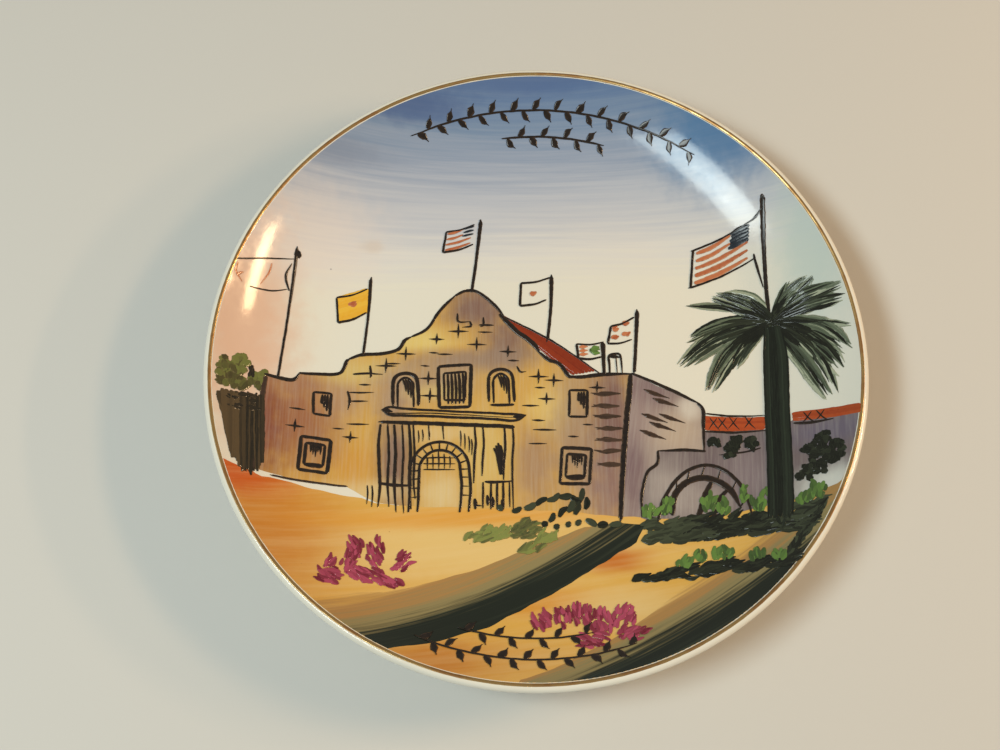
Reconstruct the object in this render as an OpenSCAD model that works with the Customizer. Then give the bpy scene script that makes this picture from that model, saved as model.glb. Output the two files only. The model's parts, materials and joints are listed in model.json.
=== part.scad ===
// Small hand-painted porcelain souvenir plate.
// A coupe plate on a foot ring, with a clear glaze coat, a gilt line on the lip and an
// overglaze enamel picture: a mission church with flags, a palm, a sandy court and a path.
// Frame: origin at the centre of the foot's resting plane, +Z up out of the face,
// +Y towards the top of the picture.

/* [Plate form] */
// Outside diameter over the lip
plate_d = 127; // [125:0.5:129]
// Radius of the flat floor of the face
floor_r = 34; // [32:0.5:36]
// Height of the face's floor above the table
floor_h = 6.4; // [6:0.1:8]
// Thickness of the floor
floor_t = 3; // [2.6:0.1:3.2]
// Radius of the arc that rises from the floor to the lip
wall_arc_r = 41.5; // [40:0.5:46]
// Radius of the rounded lip
lip_r = 1; // [0.8:0.05:1.1]
// Thickness of the clear glaze
glaze_t = 0.3; // [0.2:0.05:0.4]

/* [Foot ring] */
// Diameter of the middle of the foot ring
foot_d = 70; // [66:1:72]
// Width of the foot ring at its base
foot_w = 2.6; // [2.4:0.1:3]
// Height of the bare, unglazed base of the foot
bare_h = 0.9; // [0.6:0.1:1]
// Diameter of each hanging hole through the foot
hang_d = 1.4; // [1.2:0.1:1.4]
// Angle between a hanging hole and the top of the plate
hang_angle = 14; // [10:1:20]

/* [Decoration] */
// Width of the gilt line on the lip
gilt_w = 0.7; // [0.5:0.1:1]
// Thickness of the gilt line
gilt_t = 0.18; // [0.1:0.02:0.24]
// Thickness of the enamel washes
wash_t = 0.15; // [0.12:0.01:0.2]
// Thickness of the brush strokes over the washes
stroke_t = 0.2; // [0.15:0.01:0.25]
// Width of the dark outlines of the church
outline_w = 0.8; // [0.6:0.05:1]

/* [Hidden] */
$fn = 96;

// Plate profile: two arcs that part the face and the underside, closed by the round lip
plate_r = plate_d / 2;
floor_under = floor_h - floor_t;
face_arc_z = floor_h + wall_arc_r;
lip_x = plate_r - lip_r;
lip_run = lip_x - floor_r;
lip_z = face_arc_z - sqrt(pow(wall_arc_r + lip_r, 2) - pow(lip_run, 2));
under_drop = floor_under - lip_z;
under_arc_r = (pow(lip_run, 2) + pow(under_drop, 2) - pow(lip_r, 2)) / (-2 * (under_drop + lip_r));
under_arc_z = floor_under + under_arc_r;
plate_h = lip_z + lip_r + gilt_t;

// Foot ring
foot_r = foot_d / 2;
foot_corner_r = 0.8;
foot_flare = 0.4;
foot_top = floor_under + 1;
hang_z = 1.9;

// Radius where the face's arc meets the lip, and the band that the picture fills
face_end_r = floor_r + wall_arc_r * lip_run / (wall_arc_r + lip_r);
picture_r = face_end_r - 0.05;
gilt_in_r = face_end_r + 0.03;
stroke_end_r = picture_r - 0.5;

// Picture, in millimetres from the plate's centre
left_steps = [[-52.5, 0.8], [-47, 0.2], [-46, 1.5], [-38.5, 1.8], [-37, 4.8], [-34, 5.7],
              [-27, 6.3], [-25, 8.7], [-21, 10.5]];
gable_top = [-12.3, 11.4];
gable_r = 6.9;
gable_arc = [for (angle = [150:-12:18]) gable_top + gable_r * [cos(angle), sin(angle)]];
right_slope = [[-4.6, 11.2], [0.6, 7], [2.5, 3.8], [5, 2.6], [6.7, -0.8]];
skyline = concat(left_steps, gable_arc, right_slope);
corner_top = [19.2, -0.8];
corner_foot = [15.2, -29.6];
side_end = [32.2, -7.6];
church_left = [-53.5, -20];
horizon = [[-62, -16], [-53.5, -20], [-38, -22.5], [-31, -26], [-6.7, -27.4], [2, -28.8],
           [15, -29.8], [19, -32], [44, -32.6], [53, -31], [62, -24]];
wing_steps = [[32.2, -17.2], [23.3, -17.1], [23.1, -19.7], [20.2, -22.5], [19, -32]];
arcade = [30.8, -29.2];
door = [-19.2, -19.2];

// The plate's section, moved inwards by the given depth
module plate_section(depth) {
  to_lip = [lip_run, lip_z - under_arc_z] / norm([lip_run, lip_z - under_arc_z]);
  past_lip = [lip_x, lip_z] + 4 * to_lip;
  intersection() {
    difference() {
      union() {
        translate([floor_r, under_arc_z]) circle(under_arc_r - depth, $fn = 200);
        translate([0, floor_under + depth]) square([floor_r, under_arc_r]);
      }
      union() {
        translate([floor_r, face_arc_z]) circle(wall_arc_r + depth, $fn = 200);
        translate([0, floor_h - depth]) square([floor_r, wall_arc_r * 2]);
      }
    }
    polygon([[0, 0], [floor_r, 0], past_lip, [lip_x, lip_z], [floor_r, face_arc_z],
             [0, face_arc_z]]);
  }
  translate([lip_x, lip_z]) circle(lip_r - depth, $fn = 64);
}

// The foot ring's section, moved inwards by the given depth
module foot_section(depth) {
  half = foot_w / 2 - depth;
  top_half = half + foot_flare;
  corner = foot_corner_r - depth;
  for (side = [-1, 1])
    translate([foot_r + side * (half - corner), foot_corner_r]) circle(corner, $fn = 48);
  translate([foot_r - half + corner, foot_corner_r - corner])
    square([2 * (half - corner), corner]);
  polygon([[foot_r - half, foot_corner_r], [foot_r + half, foot_corner_r],
           [foot_r + top_half, foot_top], [foot_r - top_half, foot_top]]);
}

// The space over the face, raised off it by the given height
module face_space(height) {
  intersection() {
    union() {
      translate([floor_r, face_arc_z]) circle(wall_arc_r - height, $fn = 200);
      translate([0, floor_h + height]) square([floor_r, wall_arc_r * 2]);
    }
    square([lip_x, face_arc_z]);
  }
}

// A layer that follows the face, cut to the outline given as its child
module layer_on_face(bottom, thickness) {
  intersection() {
    rotate_extrude() difference() {
      face_space(bottom);
      face_space(bottom + thickness);
    }
    linear_extrude(plate_h + 2) children();
  }
}

module wash() layer_on_face(0, wash_t) intersection() {
  circle(picture_r, $fn = 200);
  children();
}

module strokes() layer_on_face(wash_t, stroke_t) intersection() {
  circle(stroke_end_r, $fn = 200);
  children();
}

// One straight brush line from a to b
module brush_line(a, b, width) {
  run = b - a;
  translate(a) rotate(atan2(run.y, run.x)) translate([-width / 2, -width / 2])
    square([norm(run) + width, width]);
}

module brush_path(points, width)
  for (i = [1:len(points) - 1]) brush_line(points[i - 1], points[i], width);

// A pointed dab of the brush, lying at the given angle
module dab(at, length, width, angle = 0)
  translate(at) rotate(angle)
    polygon([[-length / 2, 0], [-length / 6, -width / 2], [length / 4, -width / 2],
             [length / 2, 0], [length / 4, width / 2], [-length / 6, width / 2]]);

// Part of a ring between two angles
module arc_band(centre, radius, width, from, to)
  translate(centre) intersection() {
    difference() {
      circle(radius + width / 2);
      circle(radius - width / 2);
    }
    polygon([[0, 0], for (i = [0:4]) 2 * radius * [cos(from + (to - from) * i / 4),
                                                    sin(from + (to - from) * i / 4)]]);
  }

// An upright frame round a window, leaning with the wall
module window_frame(low, high, width, lean = 0) {
  corners = [low, [high.x, low.y + lean], high, [low.x, high.y]];
  for (i = [0:3]) brush_line(corners[i], corners[(i + 1) % 4], width);
}

// A window with a round head
module round_window(centre, half_width, height, width) {
  foot = centre.y - height;
  arc_band(centre, half_width, width, 0, 180);
  brush_path([[centre.x - half_width, centre.y - 0.1], [centre.x - half_width, foot],
              [centre.x + half_width, foot], [centre.x + half_width, centre.y - 0.1]], width);
}

// A four-pointed mark where stones meet
module stone_cross(at, size) {
  dab(at, size * 1.4, 0.45);
  dab(at, size, 0.45, 90);
}

// ---- Fields of the picture ----
module facade_field() polygon(concat([church_left], skyline, [corner_top, corner_foot,
                                                              [15, -34], [-53.5, -34]]));

module side_field() polygon(concat([corner_top, side_end], wing_steps, [[15, -34], corner_foot]));

module wing_field() polygon([wing_steps[0], [32.3, -10.2], [63, -12.6], [63, -34], [19, -34],
                             wing_steps[4], wing_steps[3], wing_steps[2], wing_steps[1]]);

module ground_field() polygon(concat(horizon, [[62, -64], [-62, -64]]));

module near_path_field() polygon([[19.4, -31.6], [10, -32.8], [0, -36.5], [-10, -42], [-20, -46],
                                  [-30, -48.6], [-42, -50], [-36, -56], [-29, -54.4],
                                  [-20, -53], [-14, -50.3], [0, -43.8], [10, -38.5],
                                  [17.8, -34]]);

module far_path_field() polygon([[19.4, -31.6], [17.8, -34], [20, -35.6], [26, -37.2],
                                 [34, -37.8], [37.5, -38], [35, -45.5], [24, -46.8],
                                 [16, -53], [6, -58], [-4, -60.4], [-4, -64], [64, -64],
                                 [64, -20], [30, -24]]);

module church_field() {
  facade_field();
  side_field();
  wing_field();
}

// ---- Plate ----
module porcelain_body() color("#e9e4d6") rotate_extrude() intersection() {
  plate_section(glaze_t);
  square([plate_d, plate_h * 2]);
}

module hanging_holes()
  for (side = [-1, 1]) rotate(90 + side * hang_angle) translate([foot_r - foot_w * 2, 0, hang_z])
    rotate([0, 90, 0]) cylinder(d = hang_d, h = foot_w * 4, $fn = 48);

module foot_ring() color("#ded8c8") difference() {
  rotate_extrude() difference() {
    union() {
      foot_section(glaze_t);
      intersection() {
        foot_section(0);
        square([plate_r, bare_h]);
      }
    }
    plate_section(glaze_t);
  }
  hanging_holes();
}

module glaze_coat() color("#f3f0e4") difference() {
  rotate_extrude() intersection() {
    difference() {
      union() {
        plate_section(0);
        foot_section(0);
      }
      plate_section(glaze_t);
      foot_section(glaze_t);
      square([plate_r, bare_h]);
    }
    square([plate_d, plate_h * 2]);
  }
  hanging_holes();
}

module rim_gilt_line() color("#9a7430") rotate_extrude() intersection() {
  translate([lip_x, lip_z]) difference() {
    circle(lip_r + gilt_t, $fn = 64);
    circle(lip_r, $fn = 64);
  }
  translate([gilt_in_r, lip_z]) square([gilt_w, 2 * lip_r]);
}

// ---- Washes ----
module sky_wash() color("#8fa3cf") wash() difference() {
  circle(plate_r);
  church_field();
  ground_field();
}

module facade_wash() color("#c9a35a") wash() difference() {
  facade_field();
  side_field();
  ground_field();
}

module side_wall_wash() color("#b19a95") wash() difference() {
  side_field();
  ground_field();
}

module wing_wash() color("#a698a6") wash() difference() {
  wing_field();
  side_field();
  ground_field();
}

module ground_wash() color("#dc9a3c") wash() difference() {
  ground_field();
  near_path_field();
  far_path_field();
}

module near_path_stroke() color("#3a463c") wash() intersection() {
  near_path_field();
  ground_field();
}

module far_path_stroke() color("#4a5640") wash() intersection() {
  far_path_field();
  ground_field();
}

// ---- Brush strokes: church ----
module outline_lines() {
  brush_path(concat(skyline, [corner_top, side_end, [32, -17.2]]), outline_w);
  brush_path([corner_top, corner_foot], 1.1);
  brush_path([[32, -17.2], wing_steps[1], wing_steps[2], wing_steps[3], [19.2, -30]], outline_w);
  brush_path([[-51, -20.2], [-38, -21.8]], 0.5);
}

module church_outline() color("#2b211b") strokes() outline_lines();

module gable_roof() color("#b23a22") strokes() difference() {
  polygon([[-5.6, 12.8], [2.2, 7.2], [12.4, -0.4], [6.8, -0.4], [5, 2.8], [2.5, 4], [0.6, 7]]);
  outline_lines();
}

module wing_roof() color("#b9421f") strokes() {
  polygon([[33, -10.8], [44.2, -11.6], [44, -13.8], [33, -13.4]]);
  polygon([[49.6, -11.2], [60, -11.9], [60, -14.1], [49.4, -13.8]]);
}

module stone_marks() color("#3a2a20") strokes() {
  for (at = [[-14.8, 9.8], [-19.2, 8.3], [-11.2, 6.8], [-5, 5], [-25.4, 5.4], [-29.4, 3],
             [-20.8, -3.7], [-20.8, 0], [3.8, -1.4], [12.2, -3.4], [-36.6, -11.8], [-47, -9.6],
             [2, -5.2], [-33.6, 1.4]])
    stone_cross(at, 2.4);
  for (at = [[-9.4, 9.4], [-9.5, 12], [-13.8, 13.6], [1, -2.8], [0.4, -9.7], [1.2, -11.7],
             [0, -14.5], [7, -13.3], [10, -11], [-35, -9], [-38.6, -10], [-35, -2.5],
             [-35.5, -4], [-46.6, -6], [-2, 2.6]])
    dab(at, 3, 0.5, -4);
  for (row = [0:6]) dab([14.4 - 0.1 * row, -5.4 - 2.4 * row], 3.6, 0.8, -4);
  for (row = [0:3]) dab([23 + 0.3 * row, -5 - 1.9 * row], 4.2, 0.7, -24);
}

module upper_windows() color("#2e231e") strokes() {
  round_window([-25.4, -0.6], 2.1, 4.2, 0.9);
  round_window([-6.4, -2.6], 2.1, 4.3, 0.9);
  window_frame([-18.4, -6.3], [-12.9, 1.9], 0.7);
  window_frame([-16.8, -5], [-14.6, 0.2], 0.9);
  window_frame([-43, -6.8], [-40.4, -2.6], 0.7);
  window_frame([6.8, -9], [9.8, -4], 0.7);
}

module lower_windows() color("#2e231e") strokes() {
  window_frame([-45.7, -18.7], [-40.6, -12], 0.7, -0.3);
  window_frame([-44.2, -17.3], [-41.9, -13.6], 0.6);
  window_frame([4.3, -22.8], [10, -15.8], 0.7, -0.3);
  window_frame([5.8, -21.2], [8.6, -17.2], 0.6);
}

module cornice() color("#33261e") strokes() {
  brush_path([[-30.4, -6.2], [-3, -8.5]], 0.5);
  brush_path([[-27.5, -7.8], [-4.4, -9.4]], 0.4);
}

module door_surround() color("#33261e") strokes() {
  brush_path([[-30.8, -8.9], [-4.8, -10.7]], 0.7);
  for (x = [-30.6, -28, -25.2]) brush_line([x, -10], [x - 0.8, -25.4], 0.6);
  for (x = [-11.6, -10, -6.4, -4.8]) brush_line([x, -11.8], [x - 0.8, -26.2], 0.6);
  brush_line([-9.4, -21.8], [-8.4, -21.8], 0.5);
}

module door_arch() color("#33261e") strokes() {
  inner = 4.1;
  outer = 5.7;
  for (radius = [inner, outer]) arc_band(door, radius, 0.6, 0, 180);
  for (angle = [10:20:170])
    brush_line(door + inner * [cos(angle), sin(angle)], door + outer * [cos(angle), sin(angle)],
               0.4);
  for (side = [-1, 1], radius = [inner, outer])
    brush_line(door + [side * radius, 0], door + [side * radius, -6.6], 0.5);
  for (x = [-1.8, 0, 1.8]) brush_line(door + [x, 0.8], door + [x, sqrt(inner * inner - x * x)], 0.4);
}

module arcade_arch() color("#33261e") strokes() {
  inner = 6.5;
  outer = 8.6;
  arc_band(arcade, outer, 0.6, 8, 170);
  arc_band(arcade, inner, 1, 12, 166);
  for (angle = [30:20:150])
    brush_line(arcade + inner * [cos(angle), sin(angle)], arcade + outer * [cos(angle), sin(angle)],
               0.4);
  brush_line([33, -24.6], [30.4, -28.6], 0.6);
}

// ---- Brush strokes: flags ----
// Each flag: foot of its pole, top of its pole, and its four corners from the pole round
flags = [
  [[-50.4, 2], [-46.8, 26.5], [[-47.4, 23], [-47.8, 18], [-55, 18.2], [-55.4, 22.6]]],
  [[-33.9, 6.6], [-32.3, 21.6], [[-33.2, 19.6], [-33.6, 14.8], [-38.8, 12.6], [-38.8, 17.6]]],
  [[-11.5, 19.4], [-9.6, 34], [[-11, 33.4], [-11.6, 29], [-17, 27.6], [-16.2, 32]]],
  [[3, 8], [4.3, 21], [[3.4, 20], [2.6, 15.8], [-2, 14.8], [-1.5, 19.6]]],
  [[13.8, 0.2], [14, 5.9], [[13.2, 5.7], [13, 3.2], [9.2, 3], [9.2, 5.7]]],
  [[19.7, 0.2], [21.2, 12.4], [[20, 10.8], [19.4, 6.6], [15.2, 6], [16, 9.6]]],
  [[47.2, 10], [48.3, 32.6], [[46.4, 28.6], [45.6, 21], [32.8, 16.6], [33.6, 24.4]]]
];

module pole_lines() for (flag = flags) brush_line(flag[0], flag[1], 0.6);

module cloth_edges() for (flag = flags) brush_path(concat(flag[2], [flag[2][0]]), 0.45);

module flagpoles() color("#2b211b") strokes() pole_lines();

module flag_outlines() color("#2b211b") strokes() difference() {
  cloth_edges();
  pole_lines();
}

module flag_yellow_cloth() color("#e0b93c") strokes() difference() {
  polygon(flags[1][2]);
  cloth_edges();
  pole_lines();
}

// Bands laid across a flag, parallel to its top edge
module cloth_stripes(corners, count, width)
  for (i = [1:count]) {
    drop = (i - 0.2) / (count + 0.6);
    fly = corners[3] * (1 - drop) + corners[2] * drop;
    hoist = corners[0] * (1 - drop) + corners[1] * drop;
    brush_line(fly * 0.88 + hoist * 0.12, fly * 0.2 + hoist * 0.8, width);
  }

module flag_red_stripes() color("#b8502c") strokes() difference() {
  union() {
    cloth_stripes(flags[2][2], 3, 0.7);
    cloth_stripes(flags[6][2], 4, 0.9);
    translate([0.7, 17.3]) circle(0.9);
    for (at = [[16.6, 8.6], [18.4, 9.4], [16.6, 7], [18.6, 7.6]]) translate(at) circle(0.6);
    translate([9.9, 3.8]) square([1, 1.2]);
  }
  cloth_edges();
  pole_lines();
}

module flag_green_patch() color("#7ea04a") strokes() translate([11.4, 3.8]) square([1, 1.4]);

// ---- Brush strokes: planting ----
module left_tree() color("#4c5128") strokes() {
  polygon([[-60.4, -1], [-58, 3], [-54.4, 3.2], [-53.4, 0.2], [-53.8, -19.4], [-57, -18.6],
           [-59, -15]]);
}

module trunk_field() polygon([[45.2, 6], [49.4, 6], [49.2, -10], [47.6, -22], [47.2, -31.8],
                              [42.6, -31.8], [43.6, -20]]);

module palm_trunk() color("#1f2a24") strokes() trunk_field();

module palm_fronds() color("#2c4636") strokes() difference() {
  for (tip = [[31, 13], [38, 15.4], [29.4, -0.2], [35, -5.6], [40.8, -1.4], [54.6, 15.2],
              [59.6, 11], [60, 6.8], [60, -3.2], [56, -9.6], [52.4, -7]]) {
    crown = [47.6, 8.6];
    reach = tip - crown;
    dab(crown + reach * 0.5, norm(reach), 2.6, atan2(reach.y, reach.x));
  }
  trunk_field();
  pole_lines();
}

module clump(at, count, spread, size)
  for (i = [0:count - 1])
    translate(at + [spread * (i - (count - 1) / 2), size * 0.35 * (i % 2)]) circle(size, $fn = 24);

module dark_shrubs() color("#1c211c") strokes() {
  clump([37.6, -16], 3, 2.6, 1.6);
  clump([53.4, -20], 3, 2.6, 2.2);
  clump([2, -25.8], 4, 2.4, 1);
  clump([8.6, -29], 2, 2, 1.1);
}

module green_bushes() color("#4f7c33") strokes() difference() {
  union() {
    clump([30.4, -30.6], 7, 3.1, 1.9);
    clump([52, -29.6], 2, 2.2, 1.6);
    clump([30, -41.6], 8, 3.2, 1.8);
  }
  arc_band(arcade, 8.6, 1, 0, 180);
  arc_band(arcade, 6.5, 1.4, 0, 180);
  outline_lines();
  trunk_field();
}

module court_leaves() color("#6c7a3c") strokes() {
  clump([-9.6, -32], 4, 2.6, 1.3);
  clump([-2, -33.8], 3, 2.4, 1.2);
}

// A spray of pointed petals that lean out from a common foot
module petal_spray(at, columns, rows, pitch, lean)
  for (column = [0:columns - 1], row = [0:rows - 1])
    dab(at + [pitch * column + 0.6 * (row % 2), 2.2 * row - 0.5 * (column % 2)], 2.6, 1.1,
        90 - lean * (column - (columns - 1) / 2));

module left_flowers() color("#9c2b62") strokes() petal_spray([-40, -39.4], 5, 3, 3, 14);

module right_flowers() color("#9c2b62") strokes() petal_spray([-1, -52.4], 7, 2, 2.8, 8);

// ---- Brush strokes: ornament in place of lettering ----
// A leafy sprig along an arc: leaves lean out to either side in turn
module sprig(radius, from, to, count)
  for (i = [0:count - 1]) {
    angle = from + (to - from) * i / (count - 1);
    side = i % 2 == 0 ? 1 : -1;
    dab((radius + side * 0.9) * [cos(angle), sin(angle)], 2.4, 0.9, angle - 90 + side * 40);
  }

module top_ornament() color("#262a35") strokes() {
  sprig(56.2, 114, 52, 27);
  sprig(51.4, 95, 71, 9);
}

module bottom_ornament() color("#2b211b") strokes() {
  sprig(53, 252, 279, 9);
  sprig(57.4, 245, 286, 17);
}

porcelain_body();
foot_ring();
glaze_coat();
rim_gilt_line();
sky_wash();
facade_wash();
side_wall_wash();
wing_wash();
ground_wash();
near_path_stroke();
far_path_stroke();
gable_roof();
wing_roof();
church_outline();
stone_marks();
upper_windows();
lower_windows();
cornice();
door_surround();
door_arch();
arcade_arch();
flagpoles();
flag_outlines();
flag_yellow_cloth();
flag_red_stripes();
flag_green_patch();
left_tree();
palm_trunk();
palm_fronds();
dark_shrubs();
green_bushes();
court_leaves();
left_flowers();
right_flowers();
top_ornament();
bottom_ornament();
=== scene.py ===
# %% [markdown]
# # A small hand-painted souvenir plate
# The real object is one piece of fired porcelain: a shallow coupe plate on a foot ring. It is
# dipped in a clear ivory glaze, banded with a gilt line, and painted with overglaze enamels,
# one colour at a time, before a last low firing melts the paint to a gloss.
# This lesson makes the plate in the same order: it turns the glazed body, bands the gilt,
# floods the washes, then lays every brush stroke on the curved face.

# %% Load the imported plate, which is the fixed frame for everything else
import json
import math
import random

import bmesh
import bpy
from mathutils import Matrix, Vector, noise


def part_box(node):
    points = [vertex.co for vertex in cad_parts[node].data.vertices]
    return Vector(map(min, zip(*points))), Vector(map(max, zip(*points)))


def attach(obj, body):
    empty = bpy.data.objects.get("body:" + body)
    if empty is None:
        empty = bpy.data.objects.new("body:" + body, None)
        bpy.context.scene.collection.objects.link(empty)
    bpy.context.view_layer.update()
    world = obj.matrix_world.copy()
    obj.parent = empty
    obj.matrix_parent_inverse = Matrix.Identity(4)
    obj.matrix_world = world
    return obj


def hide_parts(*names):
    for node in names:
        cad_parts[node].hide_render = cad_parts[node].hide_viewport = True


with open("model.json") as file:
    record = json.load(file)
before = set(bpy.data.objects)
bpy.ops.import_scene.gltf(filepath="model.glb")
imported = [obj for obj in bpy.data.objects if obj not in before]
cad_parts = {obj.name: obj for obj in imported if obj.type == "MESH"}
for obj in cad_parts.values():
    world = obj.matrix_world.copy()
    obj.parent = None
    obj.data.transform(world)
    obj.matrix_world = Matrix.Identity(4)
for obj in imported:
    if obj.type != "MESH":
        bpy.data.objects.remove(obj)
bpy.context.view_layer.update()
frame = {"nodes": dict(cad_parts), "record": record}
print("CAD nodes:", len(frame["nodes"]))

# %% [markdown]
# The potter works from a few sizes: the plate's radius, the height of its floor, the arc of its
# wall and the roundness of its lip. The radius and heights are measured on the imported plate, so
# nothing here can drift from it. The painter's picture is drawn in millimetres from the centre.

# %% Sizes of the plate, in metres
MM = 0.001
PLATE_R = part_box("glaze_coat")[1][0]
FLOOR_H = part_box("sky_wash")[0][2]
GILT_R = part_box("rim_gilt_line")[1][0]
GILT_W = 0.7 * MM
PICTURE_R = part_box("sky_wash")[1][0]
PICTURE_MM = PICTURE_R / MM
BARE_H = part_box("glaze_coat")[0][2]
FLOOR_R = 34 * MM
FLOOR_T = 3 * MM
WALL_ARC_R = 41.5 * MM
LIP_R = 1 * MM
GLAZE_T = 0.3 * MM
FOOT_R = 35 * MM
FOOT_HALF = 1.3 * MM
FOOT_FLARE = 0.4 * MM
FILLET = 0.6 * MM
ENAMEL_SINK = 0.03 * MM
LAYER_STEP = 0.025 * MM
GLOSS_RIPPLE = 0.008 * MM
print("plate radius", round(PLATE_R / MM, 2), "mm, picture radius", round(PICTURE_R / MM, 2), "mm")

# %% [markdown]
# Node trees are built the same way all through the lesson, so a few small helpers come first.
# They place a node and fill or link its inputs, do sums on numbers and vectors, make soft noise,
# blend two colours, and turn a value into a soft mask between two limits.

# %% Helpers that build node trees
def put(tree, kind, inputs=None, **settings):
    """Place a node. Each input is a plain value or another node's output."""
    node = tree.nodes.new(kind)
    for name, value in settings.items():
        setattr(node, name, value)
    for key, value in (inputs or {}).items():
        if isinstance(value, bpy.types.NodeSocket):
            tree.links.new(value, node.inputs[key])
        else:
            node.inputs[key].default_value = value
    return node


def calc(tree, operation, *values):
    """A sum on single numbers."""
    return put(tree, "ShaderNodeMath", dict(enumerate(values)), operation=operation).outputs[0]


def times(tree, first, second):
    """The product of two numbers."""
    return calc(tree, "MULTIPLY", first, second)


def vector(tree, operation, first, second=None):
    """A sum on vectors. SCALE takes a number second, and LENGTH gives a number."""
    inputs = {0: first}
    if second is not None:
        inputs[3 if operation == "SCALE" else 1] = second
    node = put(tree, "ShaderNodeVectorMath", inputs, operation=operation)
    return node.outputs["Value" if operation == "LENGTH" else 0]


def cloud(tree, place, scale, detail=2.0, roughness=0.5):
    """Soft noise at a place."""
    return put(tree, "ShaderNodeTexNoise", {"Vector": place, "Scale": scale, "Detail": detail,
                                            "Roughness": roughness}).outputs[0]


def blend(tree, mask, first, second):
    """Mix two colours by a mask."""
    return put(tree, "ShaderNodeMix", {0: mask, 6: first, 7: second}, data_type="RGBA").outputs[2]


def ease(tree, value, low, high):
    """A soft mask: 0 below low, 1 above high. It falls instead when low is above high."""
    if low > high:
        return calc(tree, "SUBTRACT", 1.0, ease(tree, value, high, low))
    node = put(tree, "ShaderNodeMapRange", {0: value, 1: low, 2: high},
               interpolation_type="SMOOTHSTEP")
    return node.outputs[0]


def new_group(name, kind, inputs, outputs):
    """An empty node group with named sockets: (label, type, starting value)."""
    tree = bpy.data.node_groups.new(name, kind)
    for label, socket, value in inputs:
        made = tree.interface.new_socket(name=label, in_out="INPUT", socket_type="NodeSocket" + socket)
        if value is not None:
            made.default_value = value
    for label, socket in outputs:
        tree.interface.new_socket(name=label, in_out="OUTPUT", socket_type="NodeSocket" + socket)
    return tree, tree.nodes.new("NodeGroupInput").outputs, tree.nodes.new("NodeGroupOutput").inputs


def carried(tree, name):
    """A number that the points carry."""
    return put(tree, "GeometryNodeInputNamedAttribute", {"Name": name}, data_type="FLOAT").outputs[0]


def store(tree, geometry, name, value):
    """Let the points carry a number."""
    return put(tree, "GeometryNodeStoreNamedAttribute", {0: geometry, "Name": name, "Value": value},
               data_type="FLOAT", domain="POINT").outputs[0]


def hand_over(tree, geometry, material, socket):
    """End a geometry tree: realize what it made and give it its material."""
    solid = put(tree, "GeometryNodeRealizeInstances", {0: geometry}).outputs[0]
    finished = put(tree, "GeometryNodeSetMaterial", {0: solid, "Material": material}).outputs[0]
    tree.links.new(finished, socket)


def use(tree, group, **inputs):
    """Place a shader group; an underscore in an input's name stands for a space."""
    node = tree.nodes.new("ShaderNodeGroup")
    node.node_tree = group
    for name, value in inputs.items():
        socket = node.inputs[name.replace("_", " ")]
        if isinstance(value, bpy.types.NodeSocket):
            tree.links.new(value, socket)
        else:
            socket.default_value = value
    return node.outputs


def added(name, data):
    """A new object, linked into the scene."""
    made = bpy.data.objects.new(name, data)
    bpy.context.collection.objects.link(made)
    return made


print("helpers ready")

# %% [markdown]
# The plate lies on a table and is seen from the front, well above it, with the camera leaning a
# little to the side. A lens of about 50 mm from a hand's breadth and a half keeps the far lip
# a touch smaller than the near one.

# %% Camera
VIEW_ELEVATION = 69.58
VIEW_ROLL = -2.35
VIEW_DISTANCE = 261.9 * MM
VIEW_TARGET = Vector((-6.8, -3.6, 16.4)) * MM
camera = added("camera", bpy.data.cameras.new("camera"))
camera.data.lens = 49.45
camera.data.sensor_width = 36
camera.data.clip_start = 0.005
turn = Matrix.Rotation(math.radians(90 - VIEW_ELEVATION), 4, "X") @ Matrix.Rotation(
    math.radians(VIEW_ROLL), 4, "Z")
camera.matrix_world = Matrix.Translation(VIEW_TARGET) @ turn @ Matrix.Translation(
    (0, 0, VIEW_DISTANCE))
bpy.context.scene.camera = camera
print("camera at", [round(v / MM, 1) for v in camera.matrix_world.translation], "mm")

# %% [markdown]
# Three softboxes model the dished face, because a glossy curve shows its shape by what it
# reflects. A cool one on the left, like a window, lays a long soft highlight on the right of the
# rim. Two narrow warm ones on the right leave two streaks on the left of the rim. The room adds
# a little even light, and the table is plain and pale.

# %% Lights, room and table
def softbox(name, direction, distance, size, colour, power, panels=5):
    """Nested panels, brightest in the middle, so that the reflection has soft edges."""
    shares = [1 - 0.75 * i / panels for i in range(panels)]
    total = sum(share * share for share in shares)
    for i, share in enumerate(shares):
        light = bpy.data.lights.new(f"{name}_{i}", "AREA")
        light.shape = "RECTANGLE"
        light.size, light.size_y = (side * share for side in size)
        light.color = colour
        light.energy = power * share * share / total
        lamp = added(f"{name}_{i}", light)
        place = Vector(direction).normalized() * distance
        lamp.location = place
        lamp.rotation_euler = place.to_track_quat("Z", "Y").to_euler()


softbox("window_softbox", (-0.455, -0.18, 0.872), 0.6, (0.25, 0.14), (0.86, 0.98, 0.97), 2.2)
softbox("warm_lamp", (0.775, 0.05, 0.63), 0.6, (0.17, 0.05), (1.0, 0.66, 0.36), 1.1, 2)
softbox("warm_strip", (0.89, 0.02, 0.455), 0.6, (0.11, 0.016), (1.0, 0.66, 0.36), 0.8, 1)
room = bpy.data.worlds.new("room")
room.use_nodes = True
room_light = room.node_tree.nodes["Background"].inputs
room_light["Color"].default_value = (1.0, 0.93, 0.80, 1)
room_light["Strength"].default_value = 0.27
bpy.context.scene.world = room
bpy.context.scene.view_settings.view_transform = "Standard"

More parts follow.
